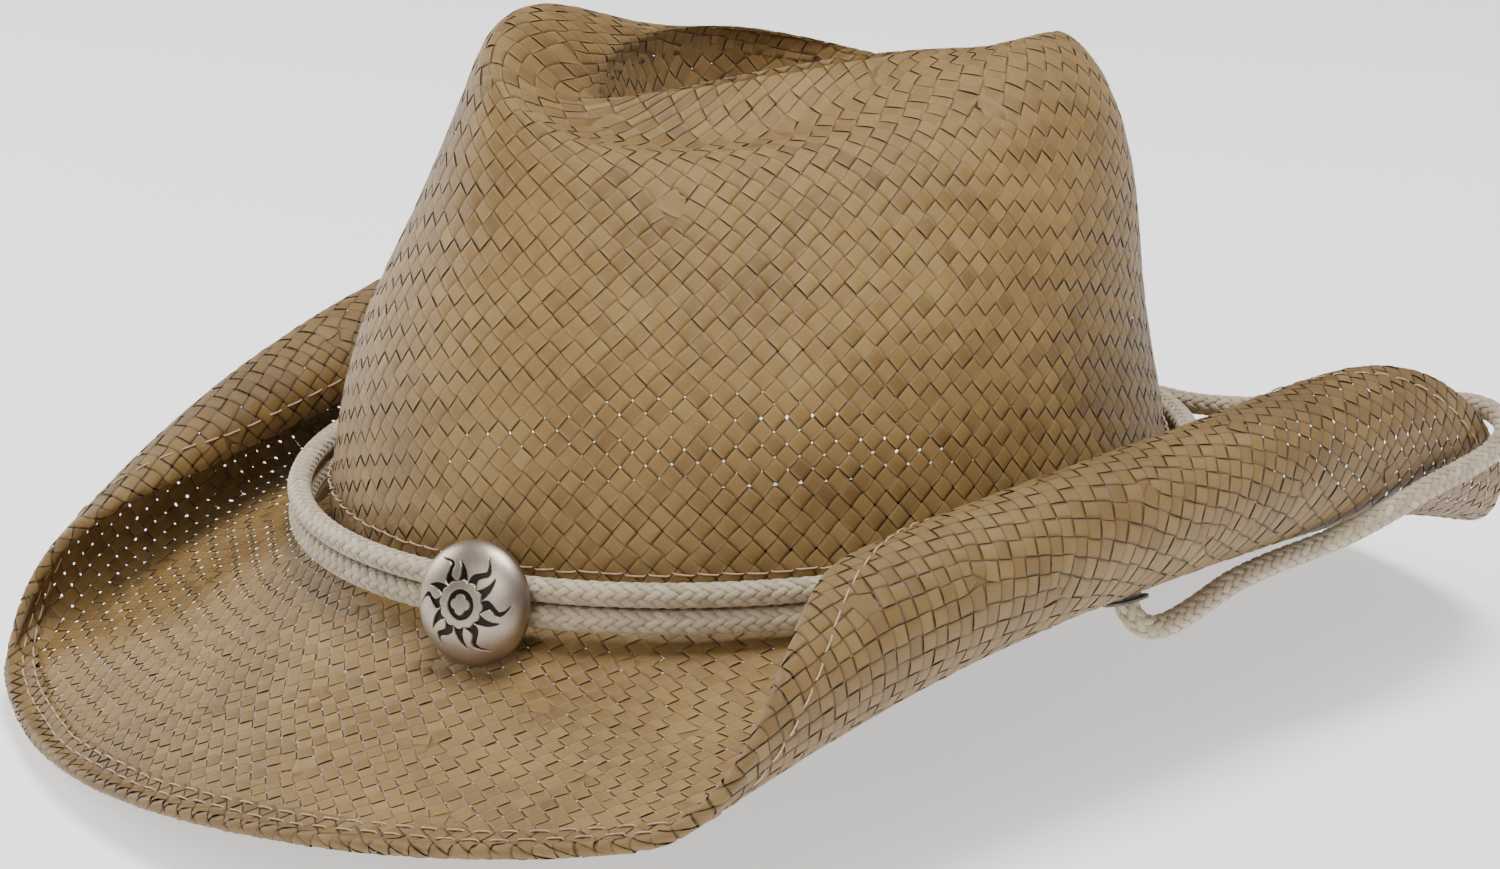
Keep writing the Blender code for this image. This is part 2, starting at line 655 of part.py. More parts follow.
def make_chin_cord(side):
    """One half of the chin cord with the knot above its eyelet and the knot on its end."""
    points = smooth_route(CHIN_ROUTES[side], CHIN_SPACING)
    cord(f"chin_cord_{side}", points)
    lift = EYELET_TOP + GAP + KNOT_HALF_HEIGHT
    place = eyelet_frame(side) @ Matrix.Translation((0, 0, lift))
    make_knot(f"chin_knot_{side}", KNOT_RADIUS, KNOT_HALF_HEIGHT, place)
    ahead = (points[-1] - points[-2]).normalized()
    centre = points[-1] + ahead * (GAP + END_KNOT_RADIUS)
    make_knot(f"chin_end_knot_{side}", END_KNOT_RADIUS, END_KNOT_RADIUS, frame_at(centre, ahead))


def make_slider():
    """The slider bead: rounded above and below, with a bore for each half of the chin cord."""
    straight = SLIDER_HALF_HEIGHT - SLIDER_HALF_DEPTH
    outline = []
    for rise, first in ((straight, 0), (-straight, 180)):
        for step in range(7):
            turn = math.radians(first + 30 * step)
            outline.append((SLIDER_HALF_DEPTH * math.cos(turn), rise, math.sin(turn)))
    end = SLIDER_HALF_LENGTH
    rings = []
    for x, inset in ((-end, 1), (-end + SLIDER_ROUNDING, 0), (end - SLIDER_ROUNDING, 0), (end, 1)):
        share = 1 - inset * 0.6 * SLIDER_ROUNDING / SLIDER_HALF_DEPTH
        ring = []
        for y, rise, over in outline:
            ring.append((x, y * share, rise + SLIDER_HALF_DEPTH * over * share))
        rings.append(ring)
    mesh = bmesh.new()
    capped_skin(mesh, rings)
    slider = object_from("chin_slider", mesh, WOOD, Matrix.Translation(SLIDER_CENTRE), smooth=False)
    for rise, name in ((SLIDER_PITCH / 2, "upper"), (-SLIDER_PITCH / 2, "lower")):
        centre = SLIDER_CENTRE + Vector((0, 0, rise))
        place = frame_at(centre, Vector((1, 0, 0)))
        hole = cylinder(f"slider_bore_{name}", SLIDER_BORE, 30 * MM, 20, WOOD, place)
        cut(slider, hole)


# ---------------------------------------------------------------- the whole hat


def main():
    for old in list(bpy.data.objects):
        bpy.data.objects.remove(old, do_unlink=True)
    make_crown()
    make_brim()
    make_brim_wire()
    make_sweatband()
    make_band()
    make_concho()
    for side in ("left", "right"):
        make_eyelet(side)
        make_chin_cord(side)
    make_slider()


main()
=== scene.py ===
"""The looks of the woven straw cowboy hat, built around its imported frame.

Metres, +Z up, front of the hat towards -Y, wearer's left towards +X. Angles run round the crown from
its front, 0, through the wearer's left, pi / 2, to its back, pi. The shape formulas repeat the frame's.
"""

import json
import math

import bpy
import numpy as np
from mathutils import Matrix, Vector

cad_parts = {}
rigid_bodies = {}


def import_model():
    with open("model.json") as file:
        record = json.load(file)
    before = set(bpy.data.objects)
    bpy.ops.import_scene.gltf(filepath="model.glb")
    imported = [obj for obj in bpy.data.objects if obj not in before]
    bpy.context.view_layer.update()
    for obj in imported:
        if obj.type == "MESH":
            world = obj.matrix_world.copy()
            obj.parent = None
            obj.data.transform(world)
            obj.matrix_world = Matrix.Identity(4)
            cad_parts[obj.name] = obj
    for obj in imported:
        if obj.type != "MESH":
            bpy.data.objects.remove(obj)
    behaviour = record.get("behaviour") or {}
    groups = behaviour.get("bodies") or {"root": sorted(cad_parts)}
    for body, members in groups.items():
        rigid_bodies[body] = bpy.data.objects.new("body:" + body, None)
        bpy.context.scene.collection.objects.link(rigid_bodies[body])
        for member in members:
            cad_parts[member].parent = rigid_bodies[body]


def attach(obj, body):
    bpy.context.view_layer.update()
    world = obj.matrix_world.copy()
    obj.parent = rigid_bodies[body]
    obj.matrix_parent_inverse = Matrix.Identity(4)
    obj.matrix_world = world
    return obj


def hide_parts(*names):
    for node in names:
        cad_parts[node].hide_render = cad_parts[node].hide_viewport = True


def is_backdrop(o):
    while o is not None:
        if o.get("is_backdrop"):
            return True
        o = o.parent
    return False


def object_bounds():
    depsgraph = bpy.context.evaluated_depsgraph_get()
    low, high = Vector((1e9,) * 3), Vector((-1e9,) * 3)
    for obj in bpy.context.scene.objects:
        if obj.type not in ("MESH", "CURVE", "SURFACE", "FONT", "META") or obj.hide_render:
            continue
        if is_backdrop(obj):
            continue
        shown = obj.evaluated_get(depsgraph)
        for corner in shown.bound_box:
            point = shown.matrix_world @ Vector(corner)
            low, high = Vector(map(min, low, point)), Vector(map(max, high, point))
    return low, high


MM = 0.001

# The camera: its turn round the hat, its height, its roll, its distance from the origin.
CAMERA_TURN = math.radians(46.58162)
CAMERA_HEIGHT = math.radians(17.09516)
CAMERA_ROLL = math.radians(0.70706)
CAMERA_DISTANCE = 0.79711
CAMERA_LENS = 86.89
CAMERA_SHIFT = (-0.00152, 0.03825)

# The lights: each one's place, its width across and its power in watts. They all face the hat.
LIGHTS = {
    "key": ((0.20, 0.10, 1.60), 0.8, 30.0),
    "front": ((0.55, -1.30, 0.95), 1.0, 9.5),
    "rim": ((-1.30, -0.35, 0.55), 0.7, 11.0),
}
SKY_STRENGTH = 0.24
FLOOR_GLOW = 0.75
FLOOR_HALF = 6.0
FLOOR_GAP = 0.8 * MM

# ------------------------------------------------------------ the frame's shape formulas

FOOT_HALF_WIDTH = 86.8 * MM
FOOT_HALF_LENGTH = 96.5 * MM
# Control rings, in millimetres but for narrowing, a share: half width, half length, middle, narrowing,
# height, tilt, arch, twist.
CROWN_RINGS = (
    (86.8, 96.5, 0.0, 0.00, -15.0, 0.0, 0.0, 0.0),
    (86.8, 96.5, 0.0, 0.00, 0.0, 0.0, 0.0, 0.0),
    (86.8, 95.5, 0.5, 0.02, 15.0, 0.0, 0.0, 0.0),
    (77.9, 92.3, 0.5, 0.00, 42.3, 1.1, 0.0, 0.2),
    (74.6, 85.8, 7.4, 0.18, 68.6, 2.0, 0.0, -2.1),
    (64.2, 79.3, 8.8, 0.42, 91.7, 8.1, -1.4, -6.8),
    (46.5, 74.5, 6.5, 0.57, 92.4, 10.2, 1.4, -16.3),
    (30.4, 69.1, 20.7, 0.69, 93.9, 7.1, -5.8, -1.1),
    (33.6, 58.4, 15.7, 0.59, 93.3, 6.2, -3.9, -3.1),
    (26.0, 46.0, 14.0, 0.45, 80.5, 1.0, 0.0, -2.0),
    (12.0, 32.0, 14.0, 0.30, 74.5, 0.0, 0.0, 0.0),
    (3.0, 18.0, 14.0, 0.00, 73.5, 0.0, 0.0, 0.0),
)
PINCHES = (0, 0, 0, 0.01, 0.04, 0.06, 0.055, 0.03, 0.01, 0, 0, 0)
PINCH_ANGLE = math.radians(48)
PINCH_SPREAD = math.radians(24)
NARROWING_POWER = 1.2
CROWN_WALL = 1.2 * MM

BRIM_WIDTH_COS = (81.7, -5.0, -8.5)
BRIM_WIDTH_SIN = (-4.4,)
BRIM_SLOPE_COS = (11.1, -0.8, 16.5, -2.2, -1.7, -0.4)
BRIM_SLOPE_SIN = (-4.5, -0.7, -3.2, 0.4)
FRONT_DIP = 5.0 * MM
FRONT_DIP_REACH = 15.0 * MM
ROLL_START = 102.7 * MM
ROLL_START_SIDE = 1.7 * MM
ROLL_FRONT_LENGTH = 679 * MM
ROLL_BACK_LENGTH = 262.5 * MM
ROLL_RADIUS = (17.7, -2.1, 7.6, -5.9, -1.0)
ROLL_SIDE_BLEND = 30.0 * MM
ROLL_SPAN = 150.0 * MM
ROLL_TIGHTENING = 0.012
HEM_CENTRE = 1.4 * MM
HEM_FROM_EDGE = 2.0 * MM
HEM_KNEE = 4.4 * MM
HEM_FLAP = 9.0 * MM
FLAP_LIFT = 1.3 * MM

SWEATBAND_RISES = (0.004, 0.159)
SWEATBAND_WALL = 1.0 * MM
SWEATBAND_SEAM = math.radians(1.0)
TAPE_HALF_ANGLE = math.radians(4.0)
TAPE_WALL = 0.8 * MM
GAP = 0.3 * MM

CORD_RADIUS = 2.6 * MM
BRAID_LAY = 24.0 * MM
BAND_OUT_FRONT = 5.6 * MM
BAND_OUT_BACK = 4.9 * MM
BAND_HEIGHT_COS = (4.01, -0.78, -0.19)
BAND_HEIGHT_SIN = (0.12,)
BAND_PITCH = 5.5 * MM
CONCHO_ANGLE = math.radians(17)
CONCHO_TILT = math.radians(14)
CONCHO_RADIUS = 12.5 * MM
CONCHO_HEIGHT = 6.2 * MM
CONCHO_WALL = 1.2 * MM
CONCHO_OUT = 4.6 * MM
EYELETS = {"left": (math.radians(90), 21.0 * MM), "right": (math.radians(-90), 21.0 * MM)}
EYELET_TOP = 2.3 * MM
KNOT_RADIUS = 5.4 * MM
KNOT_HALF_HEIGHT = 4.2 * MM
END_KNOT_RADIUS = 4.6 * MM
CHIN_ROUTES = {
    "left": (
        (106.9, 0.0, 3.7), (107.4, 0.0, 2.0), (108.0, 0.0, 0.2), (108.6, 0.3, -1.6),
        (109.5, 2.0, -4.2), (110.2, 5.5, -6.0), (110.6, 10.0, -6.2), (111.0, 17.0, -4.9),
        (111.3, 29.0, -1.9), (111.8, 41.0, -0.6), (113.0, 53.0, 0.3), (115.1, 64.5, 2.1),
        (116.7, 76.0, 4.7), (116.8, 88.0, 6.6), (115.7, 100.0, 7.2), (114.2, 112.0, 7.9),
        (113.1, 118.0, 8.8), (111.1, 123.6, 10.1), (107.5, 127.6, 11.5), (102.6, 129.4, 12.5),
        (96.9, 129.2, 12.9), (85.3, 125.4, 11.6), (62.9, 117.5, 7.8), (46.0, 111.5, 5.8),
        (34.4, 108.6, 5.1), (22.5, 108.8, 4.9), (13.0, 110.6, 4.9), (4.0, 110.6, 4.9),
        (-11.0, 110.6, 4.9), (-16.0, 111.8, 4.6), (-22.0, 116.5, 1.6), (-26.5, 121.5, -4.0),
        (-31.5, 127.5, -11.0), (-37.5, 134.5, -17.5), (-44.0, 141.5, -22.0),
    ),
    "right": (
        (-106.7, -0.1, 3.5), (-107.4, 0.0, 1.8), (-108.1, 0.0, 0.1), (-108.8, 0.4, -1.6),
        (-109.7, 2.1, -4.2), (-110.3, 5.5, -6.1), (-111.0, 11.0, -6.6), (-111.6, 17.0, -6.1),
        (-112.7, 29.0, -4.4), (-115.0, 47.0, -3.4), (-118.4, 64.5, -2.0), (-121.9, 82.0, 0.1),
        (-124.5, 99.7, 1.5), (-125.4, 111.7, 2.8), (-124.9, 117.7, 3.7), (-123.0, 123.2, 4.7),
        (-119.4, 127.1, 5.5), (-114.3, 129.0, 5.9), (-108.5, 128.8, 5.7), (-96.7, 125.6, 4.7),
        (-73.7, 119.3, 2.8), (-50.7, 113.1, 0.9), (-39.0, 110.5, -0.3), (-27.2, 109.5, -1.2),
        (-13.0, 110.6, -1.7), (-4.0, 110.6, -1.7), (11.0, 110.6, -1.7), (16.0, 111.6, -2.2),
        (19.8, 113.3, -3.4), (23.8, 116.7, -5.5), (26.6, 121.2, -8.2), (28.7, 126.2, -10.9),
        (30.6, 131.3, -13.2), (32.7, 136.4, -14.6), (35.2, 141.3, -15.6),
    ),
}

# ------------------------------------------------------------ sizes of the woven straw

# What the weave's pieces are called by, in the order of the angle round the hat.
QUARTERS = ("_front", "_left", "_back", "_right")
STRIP_PITCH = 0.0034
CROWN_STRIP_PITCH = 0.0036
CROWN_WEAVE_SLANT = math.radians(32.5)
BRIM_WEAVE_SLANT = math.radians(45)
CROWN_WEAVE_LAST_RISE = 0.80
DISH_WEAVE_FIRST_RISE = 0.775
CROWN_WEAVE_LIFT = -0.5 * MM
BRIM_WEAVE_LIFT = 0.0
BRIM_WEAVE_START = 2.2 * MM
STRIP_DEPTH = 0.24 * MM
STRIPS_KNOWN = 4001

# One patch of strip, in cells: its cross lines, its long lines, and its half width with its spread.
PATCH_ALONG = (-0.5, -0.42, -0.3, -0.1, 0.1, 0.3, 0.42, 0.5)
PATCH_ACROSS = (-1.0, -0.55, 0.55, 1.0)
PATCH_HALF_WIDTH = 0.482
PATCH_WIDTH_SPREAD = 0.005
PATCH_WOBBLES = ((0.035, 0.9, 1.7), (0.02, 2.3, 2.9))
CORNER_GAP = 0.012
CORNER_DAYLIGHT = 0.070
# How much a patch's hump varies, tips and sags across, in strip depths.
PATCH_LOOSE, PATCH_TILT, PATCH_SAG = 0.35, 0.10, 0.16
# The spread of tone from strip to strip and from patch to patch.
STRIP_TONE, PATCH_TONE = 0.08, 0.06
# Painted shade: how dark an under patch is, the end of any patch, and the end of an under patch on top of
# that.
UNDER_PAINTED_SHADE, END_PAINTED_SHADE, UNDER_END_PAINTED_SHADE = 0.20, 0.27, 0.45
EDGE_LIGHT = 0.30
STRIP_TEXTURE_STEP = 0.0371

# Where daylight shows low on the crown: the middle and the spread along X, Y and Z.
CROWN_DAYLIGHT = ((0.075, 0.03), (-0.045, 0.03), (0.027, 0.014))

TUCK_LINES = (-3.5 * MM, -1.2 * MM, 1.2 * MM, 3.5 * MM)
SEAM_TAPE_REACHES = (-0.8 * MM, 0.6 * MM, 2.0 * MM, 3.4 * MM, 4.8 * MM)
SEAM_TAPE_LIFT = -0.6 * MM
RING_ANGLES = np.linspace(0, 2 * math.pi, 721)[:-1]

# ------------------------------------------------------------ sizes of the stitches, braid and sun

STITCH_SIDES = 5
STITCH_SHARES = (0.0, 0.12, 0.35, 0.65, 0.88, 1.0)
STITCH_BULGE = (-0.7 * MM, 0.0, 0.12 * MM, 0.12 * MM, 0.0, -0.7 * MM)
HEM_STITCH = 4.2 * MM
HEM_STITCH_GAP = 1.4 * MM
HEM_STITCH_LIFT = 0.35 * MM
HEM_STITCH_RADIUS = 0.2 * MM
# Each row of the hem's stitches: its distance in from the edge, its lift and its seed.
HEM_ROWS = {
    "hem_stitches_top_outer": (5.2 * MM, FLAP_LIFT + HEM_STITCH_LIFT, 21),
    "hem_stitches_top_inner": (7.8 * MM, FLAP_LIFT + HEM_STITCH_LIFT, 22),
    "hem_stitches_below": (7.2 * MM, -HEM_STITCH_LIFT, 23),
}
CROWN_STITCHES = 118
CROWN_STITCH_SHARE = 0.88
CROWN_STITCH_RADIUS = 0.22 * MM
CROWN_STITCH_DROP = 0.7 * MM
# Half a lining strip's section, from one edge's middle round its inner face: share of the width, depth.
LINING_SECTION = ((0.02, 0.5), (0.0, 0.25), (0.01, 0.0), (0.35, 0.0), (0.7, 0.0), (0.99, 0.0), (1.0, 0.5))
LINING_STITCH = 4.2 * MM
LINING_STITCH_SHARE = 0.7
LINING_STITCH_RADIUS = 0.18 * MM

BRAID_STEP = 0.8 * MM
BRAID_CARRIERS = 8
YARN_HALF_WIDTH = 0.36
YARN_HALF_THICKNESS = 0.22
YARN_SECTION = ((1, 0), (0.55, 0.85), (-0.55, 0.85), (-1, 0), (0, -0.8))
# Painted shade at each corner of the yarn's section: its sides and its underside are darker.
YARN_PAINTED_SHADES = (0.42, 0.0, 0.0, 0.42, 0.8)
KNOT_YARN_RADIUS = 1.9 * MM
KNOT_LINE_SHARE = 0.58
KNOT_LINE_HEIGHT = 0.45
BAND_END_ANGLE = 0.0044

SUN_RAYS = 12
SUN_RAY_START = 4.6 * MM
SUN_RAY_ENDS = (10.4 * MM, 8.8 * MM)
SUN_RAY_HALF_WIDTH = 1.12 * MM
SUN_RING = 4.4 * MM
SUN_SCALLOP = 0.45 * MM
SUN_GROOVE = (2.1 * MM, 3.0 * MM)
SUN_DEPTH = 0.55 * MM
DOME_SIDES = 420


def series(cosines, sines, angle):
    """The value of a cosine and sine series at these angles."""
    value = sum(c * np.cos(k * angle) for k, c in enumerate(cosines))
    return value + sum(s * np.sin((k + 1) * angle) for k, s in enumerate(sines))


def foot_normal(angle):
    """The crown's outward direction at its foot, as X and Y."""
    x = FOOT_HALF_LENGTH * np.sin(angle)
    y = -FOOT_HALF_WIDTH * np.cos(angle)
    length = np.hypot(x, y)
    return x / length, y / length


def foot_point(angle, outward, height):
    """Points beside the crown's foot."""
    nx, ny = foot_normal(angle)
    x = FOOT_HALF_WIDTH * np.sin(angle) + nx * outward
    y = -FOOT_HALF_LENGTH * np.cos(angle) + ny * outward
    return np.stack([x, y, height + 0 * x], axis=-1)


def ring_points(ring, pinch, angle):
    """Points of one of the crown's control rings."""
    half_width, half_length, middle, narrowing, height, tilt, arch, twist = ring
    off_pinch = np.abs(np.remainder(angle + math.pi, 2 * math.pi) - math.pi) - PINCH_ANGLE
    pressed = 1 - pinch * np.exp(-((off_pinch / PINCH_SPREAD) ** 2))
    narrowed = 1 - narrowing * ((1 + np.cos(angle)) / 2) ** NARROWING_POWER
    x = half_width * np.sin(angle) * narrowed * pressed
    y = middle - half_length * np.cos(angle) * pressed
    z = height + tilt * np.cos(angle) + arch * np.cos(2 * angle) + twist * np.sin(2 * angle)
    return np.stack([x, y, z], axis=-1) * MM


def crown_ring(angle, rise):
    """The crown's outside at one rise, 0 at the foot and 1 in the dish's middle."""
    spans = len(CROWN_RINGS) - 3
    place = min(max(rise, 0.0), 1.0) * spans
    first = min(int(place), spans - 1)
    f = place - first
    weights = ((1 - f) ** 3, 3 * f**3 - 6 * f**2 + 4, -3 * f**3 + 3 * f**2 + 3 * f + 1, f**3)
    return sum(
        ring_points(CROWN_RINGS[first + k], PINCHES[first + k], angle) * (w / 6)
        for k, w in enumerate(weights)
    )


def brim_width(angle):
    return series(BRIM_WIDTH_COS, BRIM_WIDTH_SIN, angle) * MM


def brim_point(angle, reach):
    """Points of the brim's middle surface, at this reach from the crown's foot along the straw."""
    slope = np.radians(series(BRIM_SLOPE_COS, BRIM_SLOPE_SIN, angle))
    nx, ny = foot_normal(angle)
    foot = foot_point(angle, 0.0, 0.0)
    flat = foot_point(angle, reach * np.cos(slope), 0.0)
    flat_x, flat_y = flat[..., 0], flat[..., 1]
    side = np.tanh(flat_x / ROLL_SIDE_BLEND)
    along = flat_y / ROLL_SPAN
    length = np.where(flat_y < 0, ROLL_FRONT_LENGTH, ROLL_BACK_LENGTH)
    closing = np.sqrt(np.maximum(1 - (flat_y / length) ** 2, 0.05))
    start = (ROLL_START + ROLL_START_SIDE * side) * closing
    mean, by_side, by_length, by_both, by_square = ROLL_RADIUS
    full = mean + by_side * side + (by_length + by_both * side) * along + by_square * along**2
    full = full * MM
    flat_turn = np.maximum(np.abs(flat_x) - start, 0.0) / (full * np.sqrt(np.cos(slope)))
    turn = flat_turn * (1 + ROLL_TIGHTENING * flat_turn**2 / 3)
    radius = full * (1 - ROLL_TIGHTENING * turn**2)
    x = np.copysign(np.minimum(np.abs(flat_x), start) + radius * np.sin(turn), flat_x)
    rise = full - radius * np.cos(turn)
    out = (x - foot[..., 0]) * nx + (flat_y - foot[..., 1]) * ny
    dip = FRONT_DIP * (1 + np.cos(angle)) / 2 * (1 - np.exp(-np.maximum(out, 0.0) / FRONT_DIP_REACH))
    return np.stack([x, flat_y, rise - np.tan(slope) * out - dip], axis=-1)


def brim_offset(angle, reach, lift):
    """Points this far above the brim's middle surface."""
    around = brim_point(angle + 0.002, reach) - brim_point(angle - 0.002, reach)
    outward = brim_point(angle, reach + 0.0005) - brim_point(angle, reach - 0.0005)
    up = unit(np.cross(outward, around))
    return brim_point(angle, reach) + up * np.asarray(lift)[..., None]


def band_centre(angle, turn):
    """The middle of one turn of the band's cord: turn 0 is the lower one, 1 the upper one."""
    front = (1 + np.cos(angle)) / 2
    outward = BAND_OUT_BACK + (BAND_OUT_FRONT - BAND_OUT_BACK) * front
    height = series(BAND_HEIGHT_COS, BAND_HEIGHT_SIN, angle) * MM + BAND_PITCH * turn
    return foot_point(angle, outward, height)


# ------------------------------------------------------------ small helpers


def unit(vectors):
    return vectors / np.maximum(np.linalg.norm(vectors, axis=-1, keepdims=True), 1e-12)


def run_along(points):
    """The length of a line of points up to each of them."""
    return np.concatenate([[0.0], np.cumsum(np.linalg.norm(np.diff(points, axis=0), axis=1))])


def placed(points, place):
    """Points moved by a placing matrix."""
    matrix = np.array(place)
    return points @ matrix[:3, :3].T + matrix[:3, 3]


def dress(piece, body, node):
    """The piece rides on this body and stands for this CAD node, which is hidden."""
    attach(piece, body)
    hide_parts(node)


def frame_at(origin, axis, up=Vector((0, 0, 1))):
    """A placing matrix: local Z along axis, local Y as near to up as can be."""
    z = Vector(axis).normalized()
    x = Vector(up).cross(z).normalized()
    y = z.cross(x)
    return Matrix.Translation(Vector(origin)) @ Matrix((x, y, z)).transposed().to_4x4()


def piece_from(name, points, faces, material, smooth=True, uv=None, values=None):
    """A mesh object from arrays of points and of faces with the same number of corners."""
    data = bpy.data.meshes.new(name)
    faces = np.asarray(faces, dtype=np.int32)
    corners = faces.shape[1]
    data.vertices.add(len(points))
    data.vertices.foreach_set("co", np.asarray(points, np.float32).ravel())
    data.loops.add(faces.size)
    data.loops.foreach_set("vertex_index", faces.ravel())
    data.polygons.add(len(faces))
    data.polygons.foreach_set("loop_start", np.arange(0, faces.size, corners, dtype=np.int32))
    data.update(calc_edges=True)
    if uv is not None:
        layer = data.uv_layers.new(name="strip")
        layer.data.foreach_set("uv", np.asarray(uv, np.float32)[faces.ravel()].ravel())
    for key, value in (values or {}).items():
        made = data.attributes.new(key, "FLOAT", "POINT")
        made.data.foreach_set("value", np.asarray(value, np.float32).ravel())
    data.validate()
    if smooth:
        data.shade_smooth()
    data.materials.append(material)
    made = bpy.data.objects.new(name, data)
    bpy.context.scene.collection.objects.link(made)
    return made


def grid_faces(count, rows, columns):
    """Quads of many separate grids of vertices, stored one after another."""
    r, c = np.meshgrid(np.arange(rows - 1), np.arange(columns - 1), indexing="ij")
    first = (r * columns + c).ravel()
    quad = np.stack([first, first + 1, first + columns + 1, first + columns], axis=1)
    return (np.arange(count)[:, None, None] * rows * columns + quad[None]).reshape(-1, 4)


def line_frames(points, closed):
    """Tangents and two steady cross directions along a line of points."""
    if closed:
        tangent = unit(np.roll(points, -1, axis=0) - np.roll(points, 1, axis=0))
    else:
        tangent = unit(np.gradient(points, axis=0))
    over = np.zeros_like(points)
    guide = np.array([0.0, 0.0, 1.0])
    if abs(tangent[0] @ guide) > 0.8:
        guide = np.array([1.0, 0.0, 0.0])
    current = unit(guide - tangent[0] * (guide @ tangent[0]))
    for i, along in enumerate(tangent):
        current = unit(current - along * (current @ along))
        over[i] = current
    return tangent, np.cross(tangent, over), over


def tube_faces(rows, sides, closed, count=1):
    """Quads of tubes stored as rows of vertices."""
    last = rows if closed else rows - 1
    r, s = np.meshgrid(np.arange(last), np.arange(sides), indexing="ij")
    r, s = r.ravel(), s.ravel()
    up = (r + 1) % rows
    right = (s + 1) % sides
    quad = np.stack([r * sides + s, up * sides + s, up * sides + right, r * sides + right], axis=1)
    return (np.arange(count)[:, None, None] * rows * sides + quad[None]).reshape(-1, 4)


def resample(points, spacing, closed=False):
    """Points at an even spacing along a line."""
    if closed:
        points = np.vstack([points, points[:1]])
    length = run_along(points)
    count = max(int(round(length[-1] / spacing)), 8)
    at = np.linspace(0, length[-1], count + 1)
    if closed:
        at = at[:-1]
    return np.stack([np.interp(at, length, points[:, k]) for k in range(3)], axis=1)


def smooth_route(route):
    """Close points on one smooth curve through the route's points."""
    marks = np.array(route) * MM
    marks = np.vstack([marks[0] * 2 - marks[1], marks, marks[-1] * 2 - marks[-2]])
    fine = []
    for span in range(len(marks) - 3):
        before, first, second, after = marks[span : span + 4]
        lead = np.linalg.norm(first - before) ** 0.5
        main = np.linalg.norm(second - first) ** 0.5
        tail = np.linalg.norm(after - second) ** 0.5
        leaving = (first - before) / lead - (second - before) / (lead + main)
        leaving = (leaving + (second - first) / main) * main
        arriving = (second - first) / main - (after - first) / (main + tail)
        arriving = (arriving + (after - second) / tail) * main
        for step in range(16):
            f = step / 16
            point = first * (2 * f**3 - 3 * f**2 + 1) + second * (3 * f**2 - 2 * f**3)
            fine.append(point + leaving * (f**3 - 2 * f**2 + f) + arriving * (f**3 - f**2))
    fine.append(marks[-2])
    return np.array(fine)


# ------------------------------------------------------------ materials


class Nodes:
    """Adds nodes to a new material and joins them."""

    # The sockets that a mix of colours uses, by number, because several have one name.
    MIX_FACTOR, MIX_FIRST, MIX_SECOND, MIX_RESULT = 0, 6, 7, 2

    def __init__(self, name, roughness, metallic=0.0):
        self.material = bpy.data.materials.new(name)
        self.material.use_nodes = True
        self.tree = self.material.node_tree
        self.shader = self.tree.nodes["Principled BSDF"]
        self.set({"Roughness": roughness, "Metallic": metallic})

    def set(self, values):
        """Constants on the shader's own sockets."""
        for name, value in values.items():
            self.shader.inputs[name].default_value = value

    def add(self, kind, **settings):
        """A node. A socket's name starts with a capital, and the name of a node's own setting doesn't."""
        node = self.tree.nodes.new(kind)
        for key, value in settings.items():
            if key[0].isupper():
                node.inputs[key].default_value = value
            else:
                setattr(node, key, value)
        return node

    def join(self, source, target):
        self.tree.links.new(source, target)

    def value(self, name):
        """A value that the mesh holds at each of its points."""
        return self.add("ShaderNodeAttribute", attribute_name=name).outputs["Fac"]

    def place(self, scale=(1, 1, 1), uv=False):
        coordinates = self.add("ShaderNodeTexCoord").outputs["UV" if uv else "Object"]
        mapping = self.add("ShaderNodeMapping", Scale=scale)
        self.join(coordinates, mapping.inputs["Vector"])
        return mapping.outputs["Vector"]

    def noise(self, vector, scale, detail=3.0, roughness=0.5):
        node = self.add("ShaderNodeTexNoise", Scale=scale, Detail=detail, Roughness=roughness)
        self.join(vector, node.inputs["Vector"])
        return node.outputs["Fac"]

    def math(self, operation, first, second):
        """A calculation with an output and either a number or another output."""
        node = self.add("ShaderNodeMath", operation=operation)
        self.join(first, node.inputs[0])
        if isinstance(second, float):
            node.inputs[1].default_value = second
        else:
            self.join(second, node.inputs[1])
        return node.outputs[0]

    def total(self, *shares, more=0.0):
        """The sum of these outputs, each times its weight, and of one number."""
        result = None
        for output, weight in shares:
            part = self.math("MULTIPLY", output, weight)
            result = part if result is None else self.math("ADD", result, part)
        return self.math("ADD", result, more) if more else result

    def ramp(self, factor, *stops):
        node = self.add("ShaderNodeValToRGB")
        ramp = node.color_ramp
        while len(ramp.elements) < len(stops):
            ramp.elements.new(0.5)
        for element, (position, color) in zip(ramp.elements, stops):
            element.position = position
            element.color = (*color, 1.0)
        self.join(factor, node.inputs["Fac"])
        return node.outputs["Color"]

    def mix(self, factor, color, other):
        """A colour that turns into another one as the factor rises."""
        node = self.add("ShaderNodeMix", data_type="RGBA")
        self.join(factor, node.inputs[self.MIX_FACTOR])
        self.join(color, node.inputs[self.MIX_FIRST])
        node.inputs[self.MIX_SECOND].default_value = (*other, 1.0)
        return node.outputs[self.MIX_RESULT]

    def bump(self, height, strength, distance):
        node = self.add("ShaderNodeBump", Strength=strength, Distance=distance)
        self.join(height, node.inputs["Height"])
        self.join(node.outputs["Normal"], self.shader.inputs["Normal"])

    def color(self, output):
        self.join(output, self.shader.inputs["Base Color"])

    def roughness(self, output):
        self.join(output, self.shader.inputs["Roughness"])


